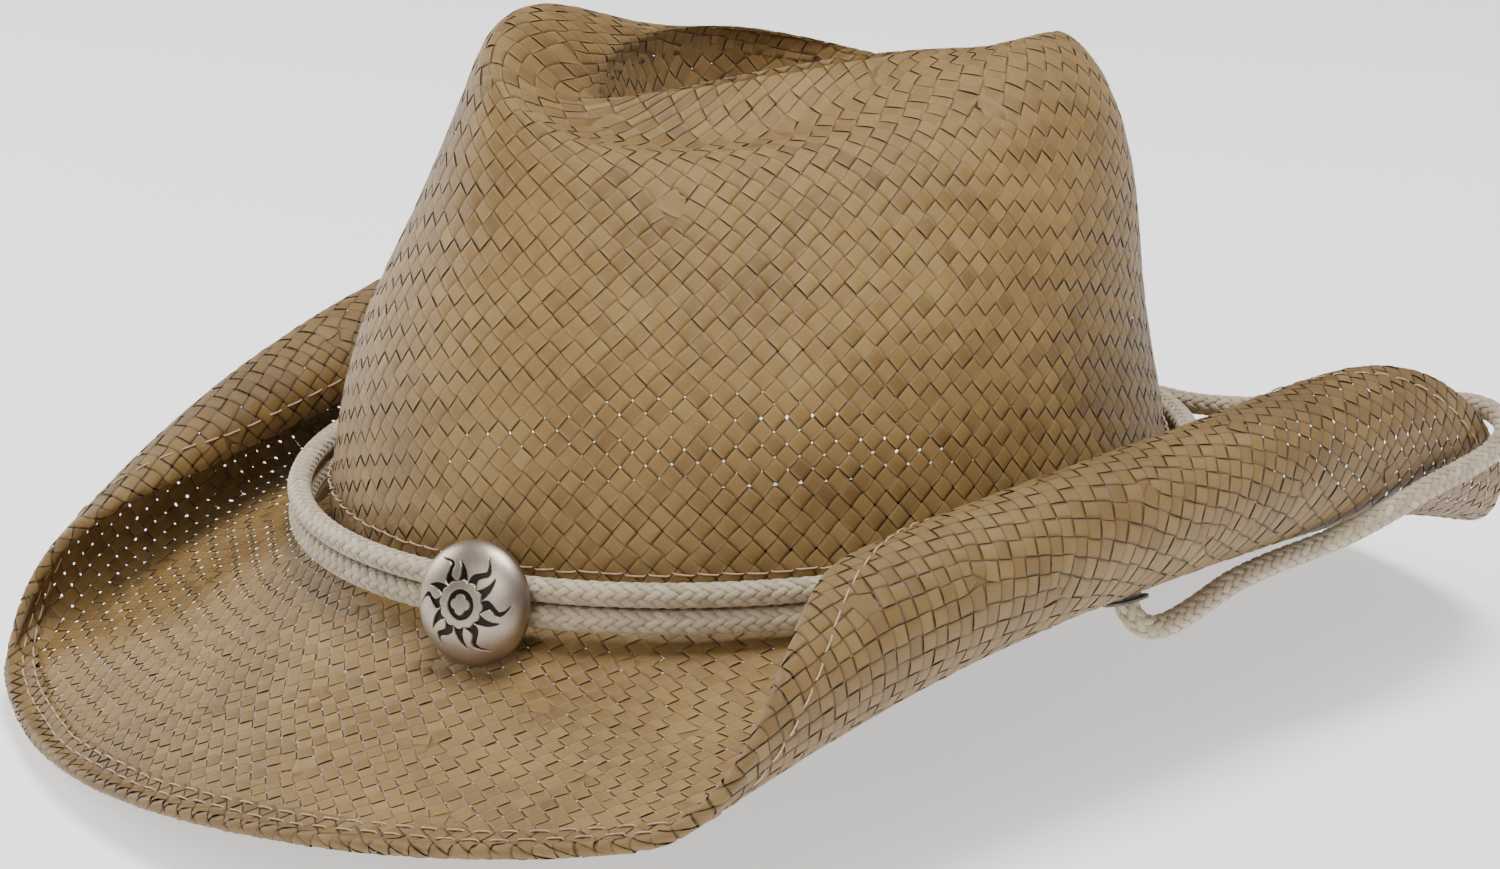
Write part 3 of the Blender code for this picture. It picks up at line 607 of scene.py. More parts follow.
def straw_material():
    """Twisted paper strips: fibres along each, a tone of its own, and painted shade in the creases."""
    n = Nodes("straw_weave", 0.5)
    fibres = n.noise(n.place((900, 9000, 1), uv=True), 1.0, 4.0, 0.6)
    wrinkles = n.noise(n.place((700, 1500, 1), uv=True), 1.0, 3.0, 0.6)
    blotch = n.noise(n.place(), 60.0)
    patch = n.noise(n.place(), 14.0, 2.0)
    color = n.ramp(
        n.total((n.value("tone"), 0.5), (blotch, 0.35), (patch, 0.25), (fibres, 0.25)),
        (0.30, (0.098, 0.052, 0.015)),
        (0.55, (0.190, 0.109, 0.031)),
        (0.72, (0.262, 0.158, 0.048)),
        (0.95, (0.350, 0.228, 0.082)),
    )
    # Painted shade: the strips go nearly black where they dive under their neighbours and at their ends.
    color = n.mix(n.value("painted_shade"), color, (0.035, 0.018, 0.008))
    n.color(n.mix(n.value("edge"), color, (0.42, 0.27, 0.11)))
    n.roughness(n.total((blotch, 0.20), more=0.40))
    n.bump(n.total((fibres, 1.0), (wrinkles, 0.8)), 0.45, 0.0003)
    n.set({"Sheen Weight": 0.10, "Sheen Roughness": 0.4, "Sheen Tint": (1.0, 0.92, 0.88, 1.0)})
    n.set({"Specular IOR Level": 0.42})
    return n.material


def cotton_material():
    """Undyed cotton yarn with painted shade between the strands, so the strands' crowns look lighter."""
    n = Nodes("cotton_braid", 0.85)
    fibres = n.noise(n.place((2500, 2500, 2500)), 1.0)
    patch = n.noise(n.place(), 70.0)
    color = n.ramp(
        n.total((fibres, 0.45), (patch, 0.35), (n.value("tone"), 0.25)),
        (0.25, (0.290, 0.222, 0.135)),
        (0.55, (0.490, 0.395, 0.262)),
        (0.85, (0.640, 0.540, 0.390)),
    )
    # Painted shade between the strands and on their sides and undersides.
    n.color(n.mix(n.value("painted_shade"), color, (0.12, 0.085, 0.05)))
    n.bump(fibres, 0.5, 0.0002)
    n.set({"Sheen Weight": 0.4, "Sheen Roughness": 0.6})
    return n.material


def thread_material():
    """Orange-brown sewing thread."""
    n = Nodes("hem_thread", 0.55)
    n.color(n.ramp(n.noise(n.place(), 900.0), (0.3, (0.46, 0.28, 0.15)), (0.7, (0.62, 0.43, 0.26))))
    n.set({"Sheen Weight": 0.3})
    return n.material


def pewter_material():
    """Brushed pewter with a warm grey patina and blackened recesses."""
    n = Nodes("pewter", 0.36, 1.0)
    grain = n.noise(n.place((3000, 3000, 3000)), 1.0, 5.0, 0.7)
    patina = n.noise(n.place(), 130.0, 4.0)
    color = n.ramp(
        n.total((grain, 0.35), (patina, 0.65)),
        (0.3, (0.33, 0.26, 0.195)),
        (0.6, (0.46, 0.385, 0.315)),
        (0.8, (0.58, 0.51, 0.435)),
    )
    n.color(n.mix(n.value("recess"), color, (0.030, 0.024, 0.022)))
    n.roughness(n.total((grain, 0.22), more=0.30))
    n.bump(grain, 0.18, 0.00012)
    return n.material


def plain_metal(name, dark, light, roughness):
    """Worn metal between two tones."""
    n = Nodes(name, roughness, 1.0)
    wear = n.noise(n.place(), 350.0, 4.0)
    n.color(n.ramp(wear, (0.35, dark), (0.7, light)))
    n.roughness(n.total((wear, 0.25), more=roughness - 0.1))
    n.bump(wear, 0.1, 0.0001)
    return n.material


def twill_material(name, dark, light):
    """Cotton twill: fine slanting ribs with slubs."""
    n = Nodes(name, 0.9)
    vector = n.place()
    ribs = n.add("ShaderNodeTexWave", bands_direction="DIAGONAL", Scale=620.0, Distortion=1.5, Detail=2.0)
    n.join(vector, ribs.inputs["Vector"])
    height = n.total((ribs.outputs["Fac"], 0.6), (n.noise(vector, 240.0, 4.0), 0.4))
    n.color(n.ramp(height, (0.25, dark), (0.75, light)))
    n.bump(height, 0.6, 0.0003)
    n.set({"Sheen Weight": 0.35})
    return n.material


def paper_wire_material():
    """The hem's wire, wound in brown paper."""
    n = Nodes("paper_wound_wire", 0.6)
    wound = n.noise(n.place((1800, 1800, 1800)), 1.0)
    n.color(n.ramp(wound, (0.3, (0.060, 0.032, 0.010)), (0.7, (0.140, 0.080, 0.028))))
    n.bump(wound, 0.4, 0.0002)
    return n.material


def wood_material():
    """Dark stained wood, its grain along the slider."""
    n = Nodes("bead_wood", 0.35)
    grain = n.noise(n.place((120, 900, 900)), 1.0, 4.0, 0.6)
    tones = ((0.3, (0.045, 0.018, 0.008)), (0.55, (0.110, 0.048, 0.020)), (0.8, (0.19, 0.09, 0.04)))
    n.color(n.ramp(grain, *tones))
    n.roughness(n.total((grain, 0.2), more=0.28))
    n.bump(grain, 0.15, 0.0001)
    return n.material


# ------------------------------------------------------------ woven straw


class RingSurface:
    """A surface of closed rings, sampled by an even angle round it and a conformal height along it."""

    COLUMNS = 1440

    def __init__(self, rings):
        """rings is (rows, angles, 3); each ring is closed and starts at the front."""
        turn = np.arange(self.COLUMNS) / self.COLUMNS
        even, lengths = [], []
        for ring in rings:
            closed = np.vstack([ring, ring[:1]])
            along = run_along(closed)
            at = turn * along[-1]
            even.append(np.stack([np.interp(at, along, closed[:, k]) for k in range(3)], axis=1))
            lengths.append(along[-1])
        self.points = np.array(even)
        lengths = np.array(lengths)
        step = np.linalg.norm(np.diff(rings, axis=0), axis=2).mean(axis=1)
        mean = (lengths[1:] + lengths[:-1]) / (4 * math.pi)
        self.height = np.concatenate([[0.0], np.cumsum(step / mean)])
        self.radius = lengths / (2 * math.pi)
        around = np.roll(self.points, -1, axis=1) - np.roll(self.points, 1, axis=1)
        outward = np.gradient(self.points, axis=0)
        self.normals = unit(np.cross(outward, around))

    def sample(self, turn, height):
        """Points and unit normals at these angles (radians) and conformal heights."""
        row = np.interp(height, self.height, np.arange(len(self.height)))
        column = np.remainder(turn / (2 * math.pi), 1.0) * self.COLUMNS
        r0 = np.minimum(row.astype(int), len(self.height) - 2)
        c0 = column.astype(int) % self.COLUMNS
        c1 = (c0 + 1) % self.COLUMNS
        fr = (row - r0)[..., None]
        fc = (column - np.floor(column))[..., None]
        out = []
        for table in (self.points, self.normals):
            low = table[r0, c0] * (1 - fc) + table[r0, c1] * fc
            high = table[r0 + 1, c0] * (1 - fc) + table[r0 + 1, c1] * fc
            out.append(low * (1 - fr) + high * fr)
        return out[0], unit(out[1])


class GrownWeave:
    """A square weave whose strips keep one width: pairs of strips start within it as the ring surface widens.

    The plain quarter weave is u = exp((height + i turn) / 4). Each start adds the logarithm of a
    dislocation and its three turned copies, so that the weave still meets itself at the back.
    """

    HEIGHTS = 800
    # The golden part spreads the starts evenly round the hat.
    GOLDEN_PART = 0.6180339887
    FIRST_PART = 0.31
    # How many points are worked out at once, which bounds the memory.
    AT_ONCE = 4000
    SEED_RISE = 0.0125
    SEEDS_ROUND = 460
    NEWTON_STEPS = 4
    # In cells: the longest Newton step, the largest error left, and how near two middles may be.
    MOST_MOVE = 1.2
    MOST_ERROR = 1e-3
    LEAST_APART = 0.62
    # A cell this much smaller or larger than the pitch is left out.
    STRETCH = (0.62, 1.6)
    # How many of the next middles along are compared with each.
    NEIGHBOURS = 160
    MOST_BEND = 0.3

    def __init__(self, surface, pitch, middle):
        self.surface = surface
        self.pitch = pitch
        self.middle = middle
        heights = np.linspace(0, surface.height[-1], self.HEIGHTS)
        wanted = np.maximum.accumulate(self.local_scale(heights))
        self.scale = wanted[-1]
        growth = np.diff(wanted) * np.exp((heights[1:] + heights[:-1]) / 8) * math.pi / 2
        turns = np.linspace(-math.pi, math.pi, 721)
        weight = np.cos(self.lean(turns)) + np.sin(self.lean(turns))
        share = np.concatenate([[0.0], np.cumsum((weight[1:] + weight[:-1]) / 2)])
        mean_part = math.sqrt(2) * (share[-1] / (len(share) - 1)) ** -1
        count = int(round(growth.sum() / mean_part))
        run = np.concatenate([[0.0], np.cumsum(growth)]) / growth.sum()
        index = np.arange(count)
        start_height = np.interp((index + 0.5) / count, run, heights)
        part = np.remainder(index * self.GOLDEN_PART + self.FIRST_PART, 1.0)
        start_turn = np.interp(part, share / share[-1], turns)
        order = np.argsort(start_turn)
        self.start_height, self.start_turn = start_height[order], start_turn[order]
        start = np.exp(self.start_height / 4 + 1j * (self.start_turn / 4 + middle))
        copies = 1j ** np.arange(4)
        self.starts = (start[:, None] * copies).ravel()
        self.parts = (self.steps_at_starts()[:, None] * copies / (2j * math.pi)).ravel()

    def steps_at_starts(self):
        """One strip each way for every start, in the directions that keep the sum nearest to what is owed."""
        steps = np.array([1 + 1j, 1 - 1j, -1 + 1j, -1 - 1j])
        owed = 0j
        chosen = []
        for turn in self.start_turn:
            lean = self.lean(turn)
            size = math.sqrt(2) / (math.cos(lean) + math.sin(lean))
            owed += 1j * np.exp(1j * (turn / 4 + self.middle)) * size
            step = steps[np.argmin(np.abs(owed - steps))]
            owed -= step
            chosen.append(step)
        return np.array(chosen)

    def lean(self, turn):
        """How far the way round the hat is turned from the nearest diagonal of the cells."""
        return np.abs(np.remainder(turn / 4 + self.middle, math.pi / 2) - math.pi / 4)

    def local_scale(self, height):
        """The scale that would give cells of the right size at this height."""
        radius = np.interp(height, self.surface.height, self.surface.radius)
        return 4 * radius / (self.pitch * np.exp(height / 4))

    def position(self, u, beside=None, known=None):
        """Weave coordinates of u, followed on from a point beside it."""
        out = np.empty(len(u), complex)
        for first in range(0, len(u), self.AT_ONCE):
            part = slice(first, first + self.AT_ONCE)
            ratio = 1 - u[part, None] / self.starts
            if beside is None:
                out[part] = self.scale * u[part] + np.log(ratio) @ self.parts
            else:
                before = 1 - beside[part, None] / self.starts
                out[part] = known[part] + self.scale * (u[part] - beside[part])
                out[part] += np.log(ratio / before) @ self.parts
        return out

    def slopes(self, u):
        """The first and second derivative of the weave coordinates."""
        first_slope = np.empty(len(u), complex)
        second_slope = np.empty(len(u), complex)
        for first in range(0, len(u), self.AT_ONCE):
            part = slice(first, first + self.AT_ONCE)
            away = 1 / (u[part, None] - self.starts)
            first_slope[part] = self.scale + away @ self.parts
            second_slope[part] = -(away**2) @ self.parts
        return first_slope, second_slope

    def seeds(self):
        """Close points all over the surface, staggered from row to row."""
        rows = []
        for height in np.arange(0.0, self.surface.height[-1], self.SEED_RISE):
            share = (np.arange(self.SEEDS_ROUND) + 0.5 * (len(rows) % 2)) / self.SEEDS_ROUND
            turn = share * 2 * math.pi - math.pi
            rows.append(np.exp(height / 4 + 1j * (turn / 4 + self.middle)))
        return np.concatenate(rows)

    def cells(self):
        """The cells' numbers each way. Their middles are found by Newton's method from the seeds."""
        beside = self.seeds()
        known = self.position(beside)
        goal = np.floor(known.real) + 0.5 + 1j * (np.floor(known.imag) + 0.5)
        u, now = beside, known
        for _ in range(self.NEWTON_STEPS):
            move = (goal - now) / self.slopes(u)[0]
            most = self.MOST_MOVE / self.scale
            u = u + move * np.minimum(1, most / np.maximum(np.abs(move), 1e-12))
            now = self.position(u, beside, known)
        good = np.abs(now - goal) < self.MOST_ERROR
        u, goal = u[good], goal[good]
        slope, second = self.slopes(u)
        height = 4 * np.log(np.abs(u))
        stretch = np.abs(slope) / self.local_scale(height)
        good = (height > 0) & (height < self.surface.height[-1])
        good &= (stretch > self.STRETCH[0]) & (stretch < self.STRETCH[1])
        off = 4 * (np.angle(u * np.exp(-1j * self.middle)))
        good &= (off >= -math.pi) & (off < math.pi)
        u, goal, slope, second = u[good], goal[good], slope[good], second[good]
        pick = self.separate(u)
        self.centre, self.goal = u[pick], goal[pick]
        self.slope, self.second = slope[pick], second[pick]
        return np.floor(self.goal.real).astype(int), np.floor(self.goal.imag).astype(int)

    def separate(self, u):
        """Which of these middles to keep, so that each cell is there once."""
        key = np.round(np.stack([u.real, u.imag], axis=1) * 2e5).astype(np.int64)
        _, pick = np.unique(key, axis=0, return_index=True)
        pick = pick[np.argsort(u[pick].real)]
        kept = np.ones(len(pick), bool)
        for later in range(1, self.NEIGHBOURS):
            near = np.abs(u[pick[later:]] - u[pick[:-later]]) * self.scale < self.LEAST_APART
            kept[later:] &= ~near
        return pick[kept]

    def place(self, x, y):
        """Points and normals of weave coordinates near each cell's middle."""
        off = (x + 1j * y) - self.goal[:, None, None]
        slope = self.slope[:, None, None]
        step = off / slope
        bend = -self.second[:, None, None] / (2 * slope) * step
        bend = bend * np.minimum(1, self.MOST_BEND / np.maximum(np.abs(bend), 1e-9))
        u = self.centre[:, None, None] + step * (1 + bend)
        turn = 4 * np.angle(u * np.exp(-1j * self.middle))
        height = 4 * np.log(np.abs(u))
        return self.surface.sample(turn, np.clip(height, 0, self.surface.height[-1]))

    def tucked_ends(self, name, material, lift):
        """A small square of strip between the layers at each start, where new strips are tucked in."""
        p, q = np.meshgrid(TUCK_LINES, TUCK_LINES, indexing="ij")
        turn, height = self.start_turn[:, None, None], self.start_height[:, None, None]
        radius = np.interp(height, self.surface.height, self.surface.radius)
        lean = -turn / 4 - self.middle
        outward = (p * np.cos(lean) - q * np.sin(lean)) / radius
        around = (p * np.sin(lean) + q * np.cos(lean)) / radius
        height = np.clip(height + outward, 0, self.surface.height[-1])
        points, normals = self.surface.sample(turn + around, height)
        points = (points + normals * lift).reshape(-1, 3)
        count = len(turn)
        apart = 0.01 * np.arange(count)[:, None, None, None]
        uv = np.stack([p + 0 * outward, q + 0 * outward], axis=-1) + apart
        flat = np.zeros(len(points))
        # Painted shade on the tucked ends, which lie hidden between the layers.
        values = {"tone": flat + 0.42, "painted_shade": flat + 0.22, "edge": flat}
        faces = grid_faces(count, len(TUCK_LINES), len(TUCK_LINES))
        return piece_from(name, points, faces, material, uv=uv.reshape(-1, 2), values=values)


class FlatWeave:
    """Places a square weave in the dish: strips run straight across it, at 45 degrees to its length."""

    COLUMNS = 360
    ROWS = 140
    MARGIN = 0.4

    def __init__(self, pitch, last_rise):
        self.pitch = pitch
        self.angles = np.linspace(0, 2 * math.pi, self.COLUMNS + 1)
        rises = np.linspace(1.0, last_rise, self.ROWS)
        rows = np.array([crown_ring(self.angles, rise) for rise in rises])
        rows[0] = rows[0].mean(axis=0)
        self.rows = rows
        step = np.linalg.norm(np.diff(rows, axis=0), axis=2)
        self.reach = np.vstack([np.zeros(self.COLUMNS + 1), np.cumsum(step, axis=0)])
        self.normals = unit(np.cross(np.gradient(rows, axis=0), np.gradient(rows, axis=1)))
        self.normals[0] = np.array([0, 0, 1.0])

    def locate(self, x, y):
        """The angle and the distance from the dish's middle."""
        u = (x - y) * math.sqrt(0.5) * self.pitch
        v = (x + y) * math.sqrt(0.5) * self.pitch
        return np.remainder(np.arctan2(u, -v), 2 * math.pi), np.hypot(u, v)

    def cells(self):
        most = int(self.reach[-1].max() / self.pitch) + 2
        i, j = np.meshgrid(np.arange(-most, most), np.arange(-most, most), indexing="ij")
        i, j = i.ravel(), j.ravel()
        turn, reach = self.locate(i + 0.5, j + 0.5)
        inside = reach < np.interp(turn, self.angles, self.reach[-1]) - self.pitch * self.MARGIN
        return i[inside], j[inside]

    def place(self, x, y):
        turn, reach = self.locate(x, y)
        column = turn / (2 * math.pi) * self.COLUMNS
        c0 = np.minimum(column.astype(int), self.COLUMNS - 1)
        fc = column - c0
        table = self.reach[:, c0] * (1 - fc) + self.reach[:, c0 + 1] * fc
        reach = np.minimum(reach, table[-1])
        r0 = np.clip((table <= reach[None]).sum(axis=0) - 1, 0, self.ROWS - 2)
        low = np.take_along_axis(table, r0[None], axis=0)[0]
        high = np.take_along_axis(table, r0[None] + 1, axis=0)[0]
        fr = ((reach - low) / np.maximum(high - low, 1e-9))[..., None]
        fc = fc[..., None]
        out = []
        for grid in (self.rows, self.normals):
            near = grid[r0, c0] * (1 - fc) + grid[r0, c0 + 1] * fc
            far = grid[r0 + 1, c0] * (1 - fc) + grid[r0 + 1, c0 + 1] * fc
            out.append(near * (1 - fr) + far * fr)
        return out[0], unit(out[1])


def strip_patches(weave, cells, family, tones, widths, open_corner, lift, rng):
    """The patches of all strips that run one way: points, places on the strip, tones, painted shade and
    edges.
    """
    i, j = cells
    count = len(i)
    a, b = np.meshgrid(PATCH_ALONG, PATCH_ACROSS, indexing="ij")
    line, step = (j, i) if family == 0 else (i, j)
    strip = line % STRIPS_KNOWN
    lifted = (((i + j) % 2 == 0) ^ (family == 1))[:, None, None]
    line, step = line[:, None, None], step[:, None, None]
    run = step + 0.5 + a
    wobble = sum(size * np.sin(run * along + across * line) for size, along, across in PATCH_WOBBLES)
    half = PATCH_HALF_WIDTH + PATCH_WIDTH_SPREAD * widths[strip][:, None, None]
    half = half - open_corner * np.abs(2 * a) ** 4
    side = line + 0.5 + b * half + wobble
    points, normals = weave.place(*((run, side) if family == 0 else (side, run)))

    sign = np.where(lifted, 1.0, -1.0)
    hump = 1 - np.abs(2 * a) ** 5
    loose = 1 + PATCH_LOOSE * rng.uniform(-1, 1, count)[:, None, None]
    tilt = PATCH_TILT * rng.uniform(-1, 1, count)[:, None, None] * b * hump
    sag = -PATCH_SAG * b**4 * hump
    height = lift + STRIP_DEPTH * (sign * hump * loose + tilt + sag * sign)
    points = points + normals * height[..., None]

    across = line * STRIP_TEXTURE_STEP + 0.5 * (b + 1) * CROWN_STRIP_PITCH + 0 * run
    tone = 0.5 + STRIP_TONE * tones[strip] + PATCH_TONE * rng.normal(0, 1, count)
    under = np.where(lifted, 0.0, 1.0)
    near_end = np.clip(np.abs(2 * a) * 2.5 - 1.5, 0, 1)
    # Painted shade on the under patches and at each patch's ends, where the strips dive under.
    painted_shade = under * UNDER_PAINTED_SHADE + (END_PAINTED_SHADE + UNDER_END_PAINTED_SHADE * under) * near_end**2
    edge = (np.abs(b) > 0.9) * EDGE_LIGHT * (1 - under) * hump
    return {
        "points": points.reshape(count, -1, 3),
        "uv": np.stack([run * STRIP_PITCH, across], axis=-1).reshape(count, -1, 2),
        "tone": np.repeat(tone[:, None], a.size, axis=1),
        "painted_shade": painted_shade.reshape(count, -1),
        "edge": edge.reshape(count, -1),
    }


def weave_pieces(name, weave, material, lift, seed, openness, sides=QUARTERS):
    """One patch of strip for each crossing and direction, over or under its neighbour in turn.

    The patches are shared out between the quarters of the hat, a piece for each.
    """
    cells = weave.cells()
    rng = np.random.default_rng(seed)
    tones = rng.normal(0, 1, (2, STRIPS_KNOWN))
    widths = rng.normal(0, 1, (2, STRIPS_KNOWN))
    middles, _ = weave.place(*(number[:, None, None] + 0.5 for number in cells))
    x, y, z = np.moveaxis(middles, -1, 0)
    open_corner = CORNER_GAP + CORNER_DAYLIGHT * openness(x, y, z)
    open_corner = open_corner * rng.uniform(0.35, 1.15, x.shape)
    families = [
        strip_patches(weave, cells, family, tones[family], widths[family], open_corner, lift, rng)
        for family in (0, 1)
    ]
    arrays = {key: np.stack([family[key] for family in families]) for key in families[0]}
    quarter = np.floor(np.arctan2(x, -y).ravel() / (2 * math.pi) * len(sides) + 0.5) % len(sides)
    pieces = []
    for number, side in enumerate(sides):
        mine = {key: array[:, quarter == number] for key, array in arrays.items()}
        points = mine.pop("points").reshape(-1, 3)
        uv = mine.pop("uv").reshape(-1, 2)
        rows, columns = len(PATCH_ALONG), len(PATCH_ACROSS)
        faces = grid_faces(len(points) // (rows * columns), rows, columns)
        pieces.append(piece_from(name + side, points, faces, material, uv=uv, values=mine))
    return pieces


def fading(value, width):
    """1 well below 0 and 0 well above it."""
    return 1 / (1 + np.exp(value / width))


def brim_openness(x, y, z):
    """Where daylight shows at the corners of the brim's weave, 0 to 1: right side, front and left back."""
    right = fading(x + 0.020, 0.012) * fading(y - 0.055, 0.015)
    front = 0.55 * fading(y + 0.100, 0.008)
    left_back = 0.6 * fading(0.085 - x, 0.006) * fading(0.035 - y, 0.01)
    return np.maximum(np.maximum(right, front), left_back)


def crown_openness(x, y, z):
    """Where daylight shows low on the crown's left front."""
    off = sum(((value - middle) / spread) ** 2 for value, (middle, spread) in zip((x, y, z), CROWN_DAYLIGHT))
    return 0.9 * np.exp(-off)


def closed_weave(x, y, z):
    """No daylight anywhere."""
    return 0 * x


def crown_surface():
    """The crown's straw from the foot up over the crest and a little way into the dish."""
    rises = np.linspace(CROWN_WEAVE_LAST_RISE, 0.0, 420)
    return RingSurface(np.array([crown_ring(RING_ANGLES, rise) for rise in rises]))


def brim_surface():
    """The brim's straw from inside the foot out, round the wire and back under the hem's stitches."""
    width = brim_width(RING_ANGLES)
    bend = width - HEM_FROM_EDGE
    knee = width - HEM_KNEE
    rows = []
    for f in np.linspace(0, 1, 230):
        rows.append(brim_point(RING_ANGLES, -BRIM_WEAVE_START + (bend + BRIM_WEAVE_START) * f))
    for turn in np.radians(np.linspace(-90, 90, 19)[1:]):
        lift = HEM_CENTRE * (1 + math.sin(turn)) + 0 * width
        rows.append(brim_offset(RING_ANGLES, bend + HEM_CENTRE * math.cos(turn), lift))
    for f in np.linspace(0, 1, 10)[1:]:
        lift = 2 * HEM_CENTRE + (FLAP_LIFT - 2 * HEM_CENTRE) * f + 0 * width
        rows.append(brim_offset(RING_ANGLES, bend + (knee - bend) * f, lift))
    for f in np.linspace(0, 1, 16)[1:]:
        rows.append(brim_offset(RING_ANGLES, knee - (HEM_FLAP - HEM_KNEE) * f, FLAP_LIFT + 0 * width))
    return RingSurface(np.array(rows))


def seam_tape(name, material):
    """The flat tape under the seam of crown and brim."""
    same = 0 * RING_ANGLES
    rows = [brim_offset(RING_ANGLES, reach + same, SEAM_TAPE_LIFT + same) for reach in SEAM_TAPE_REACHES]
    points = np.array(rows).reshape(-1, 3)
    run, across = np.meshgrid(RING_ANGLES * 0.1, SEAM_TAPE_REACHES)
    uv = np.stack([run.ravel(), across.ravel()], axis=-1)
    flat = np.zeros(len(points))
    # Painted shade on the tape, which lies under the seam.
    values = {"tone": flat + 0.3, "painted_shade": flat + 0.35, "edge": flat}
    faces = tube_faces(len(SEAM_TAPE_REACHES), len(RING_ANGLES), False)
    return piece_from(name, points, faces, material, uv=uv, values=values)


def stitch_row(name, ends, material, radius):
    """Separate stitches between pairs of end points, each a thin tube with its ends sunk in."""
    starts, stops, normals = ends
    share = np.array(STITCH_SHARES)[:, None]
    line = starts[:, None] * (1 - share) + stops[:, None] * share
    line = line + normals[:, None] * np.array(STITCH_BULGE)[:, None]
    side = unit(np.cross(unit(stops - starts), normals))
    turns = np.arange(STITCH_SIDES)[:, None] * 2 * math.pi / STITCH_SIDES
    ring = side[:, None] * np.cos(turns) + normals[:, None] * np.sin(turns)
    points = line[:, :, None] + ring[:, None] * radius
    faces = tube_faces(len(share), STITCH_SIDES, False, len(starts))
    return piece_from(name, points.reshape(-1, 3), faces, material)


def hem_stitches(name, material, from_edge, lift, seed):
    """A row of stitches at this distance in from the brim's edge, on its top or underside."""

    def points_at(angle, distance, height):
        return brim_offset(angle, brim_width(angle) - distance, height + 0 * angle)

    rng = np.random.default_rng(seed)
    fine = np.linspace(0, 2 * math.pi, 6001)
    run = run_along(points_at(fine, from_edge, lift))
    count = int(run[-1] / (HEM_STITCH + HEM_STITCH_GAP))
    first = np.arange(count) * run[-1] / count
    first_angle = np.interp(first, run, fine)
    last_angle = np.interp(first + HEM_STITCH * (1 + 0.1 * rng.uniform(-1, 1, count)), run, fine)
    drift = from_edge + 0.25 * MM * np.sin(first_angle * 23) + 0.1 * MM * rng.uniform(-1, 1, count)
    starts = points_at(first_angle, drift, lift)
    drift = drift + 0.12 * MM * rng.uniform(-1, 1, count)
    stops = points_at(last_angle, drift, lift)
    above = points_at(first_angle, from_edge, lift + math.copysign(MM, lift))
    normals = unit(above - points_at(first_angle, from_edge, lift))
    return stitch_row(name, (starts, stops, normals), material, HEM_STITCH_RADIUS)


def crown_stitches(name, material):
    """The seam's long stitches, just above the band."""
    rng = np.random.default_rng(5)
    turn = 2 * math.pi * np.arange(CROWN_STITCHES) / CROWN_STITCHES
    width = 2 * math.pi / CROWN_STITCHES * CROWN_STITCH_SHARE
    tries = np.linspace(0.0, 0.2, 60)
    levels = np.array([crown_ring(turn, rise)[:, 2] for rise in tries])
    nx, ny = foot_normal(turn)
    normals = unit(np.stack([nx, ny, 0 * nx + 0.1], axis=-1))
    ends = []
    for angles in (turn, turn + width):
        above = band_centre(angles, 1)[:, 2] + CORD_RADIUS - CROWN_STITCH_DROP
        above = above + 0.3 * MM * rng.uniform(-1, 1, CROWN_STITCHES)
        rises = [np.interp(height, column, tries) for height, column in zip(above, levels.T)]
        points = [crown_ring(np.array([angle]), rise)[0] for angle, rise in zip(angles, rises)]
        ends.append(np.array(points) + normals * 0.35 * MM)
    return stitch_row(name, (*ends, normals), material, CROWN_STITCH_RADIUS)


# ------------------------------------------------------------ braided cord


def braid_piece(name, line, radius, material, closed=False):
    """A tubular braid along a line: eight yarns each way round, over two and under two."""
    points = resample(line, BRAID_STEP, closed)
    rows = len(points)
    _, side, over = line_frames(points, closed)
    at = np.arange(rows) * BRAID_STEP
    twist = 2 * math.pi / BRAID_LAY
    if closed:
        length = BRAID_STEP * rows
        twist = 2 * math.pi * max(round(length / BRAID_LAY), 1) / length
    half_thick = YARN_HALF_THICKNESS * radius
    section = np.array(YARN_SECTION) * (YARN_HALF_WIDTH * radius, half_thick)
    all_points, painted_shades, tones = [], [], []
    rng = np.random.default_rng(len(name))
    for direction in (1, -1):
        for carrier in range(BRAID_CARRIERS):
            turn = (direction * twist * at + 2 * math.pi * carrier / BRAID_CARRIERS)[:, None]
            meet = direction * BRAID_CARRIERS / 2 * twist * at + math.pi * carrier + math.pi / 4
            wave = np.tanh(1.6 * direction * np.sin(meet)) / math.tanh(1.6)
            deep = radius - half_thick + 0.11 * radius * (wave - 1)
            out = side * np.cos(turn) + over * np.sin(turn)
            centre = points + out * deep[:, None]
            run = unit(np.gradient(centre, axis=0))
            wide = unit(np.cross(run, out))
            thick = unit(np.cross(wide, run))
            ring = centre[:, None] + wide[:, None] * section[:, 0:1] + thick[:, None] * section[:, 1:2]
            all_points.append(ring.reshape(-1, 3))
            # Painted shade where the yarn dives under its neighbours, and on the sides and underside of its
            # section.
            painted_shade = 0.5 * np.clip(0.42 - 0.42 * wave, 0, 1)[:, None] + np.array(YARN_PAINTED_SHADES)
            painted_shades.append(np.clip(painted_shade, 0, 1).ravel())
            tones.append(np.full(rows * len(section), rng.uniform(0, 1)))
    faces = tube_faces(rows, len(section), closed, 2 * BRAID_CARRIERS)
    values = {"painted_shade": np.concatenate(painted_shades), "tone": np.concatenate(tones)}
    return piece_from(name, np.concatenate(all_points), faces, material, values=values)


def knot_line(radius, half_height, place):
    """A trefoil's line inside a flattened ball of this size."""
    t = np.linspace(0, 2 * math.pi, 161)[:-1]
    wide = radius * KNOT_LINE_SHARE / 3
    x = (np.sin(t) + 2 * np.sin(2 * t)) * wide
    y = (np.cos(t) - 2 * np.cos(2 * t)) * wide
    z = -np.sin(3 * t) * half_height * KNOT_LINE_HEIGHT
    return placed(np.stack([x, y, z], axis=-1), place)


# ------------------------------------------------------------ the pieces


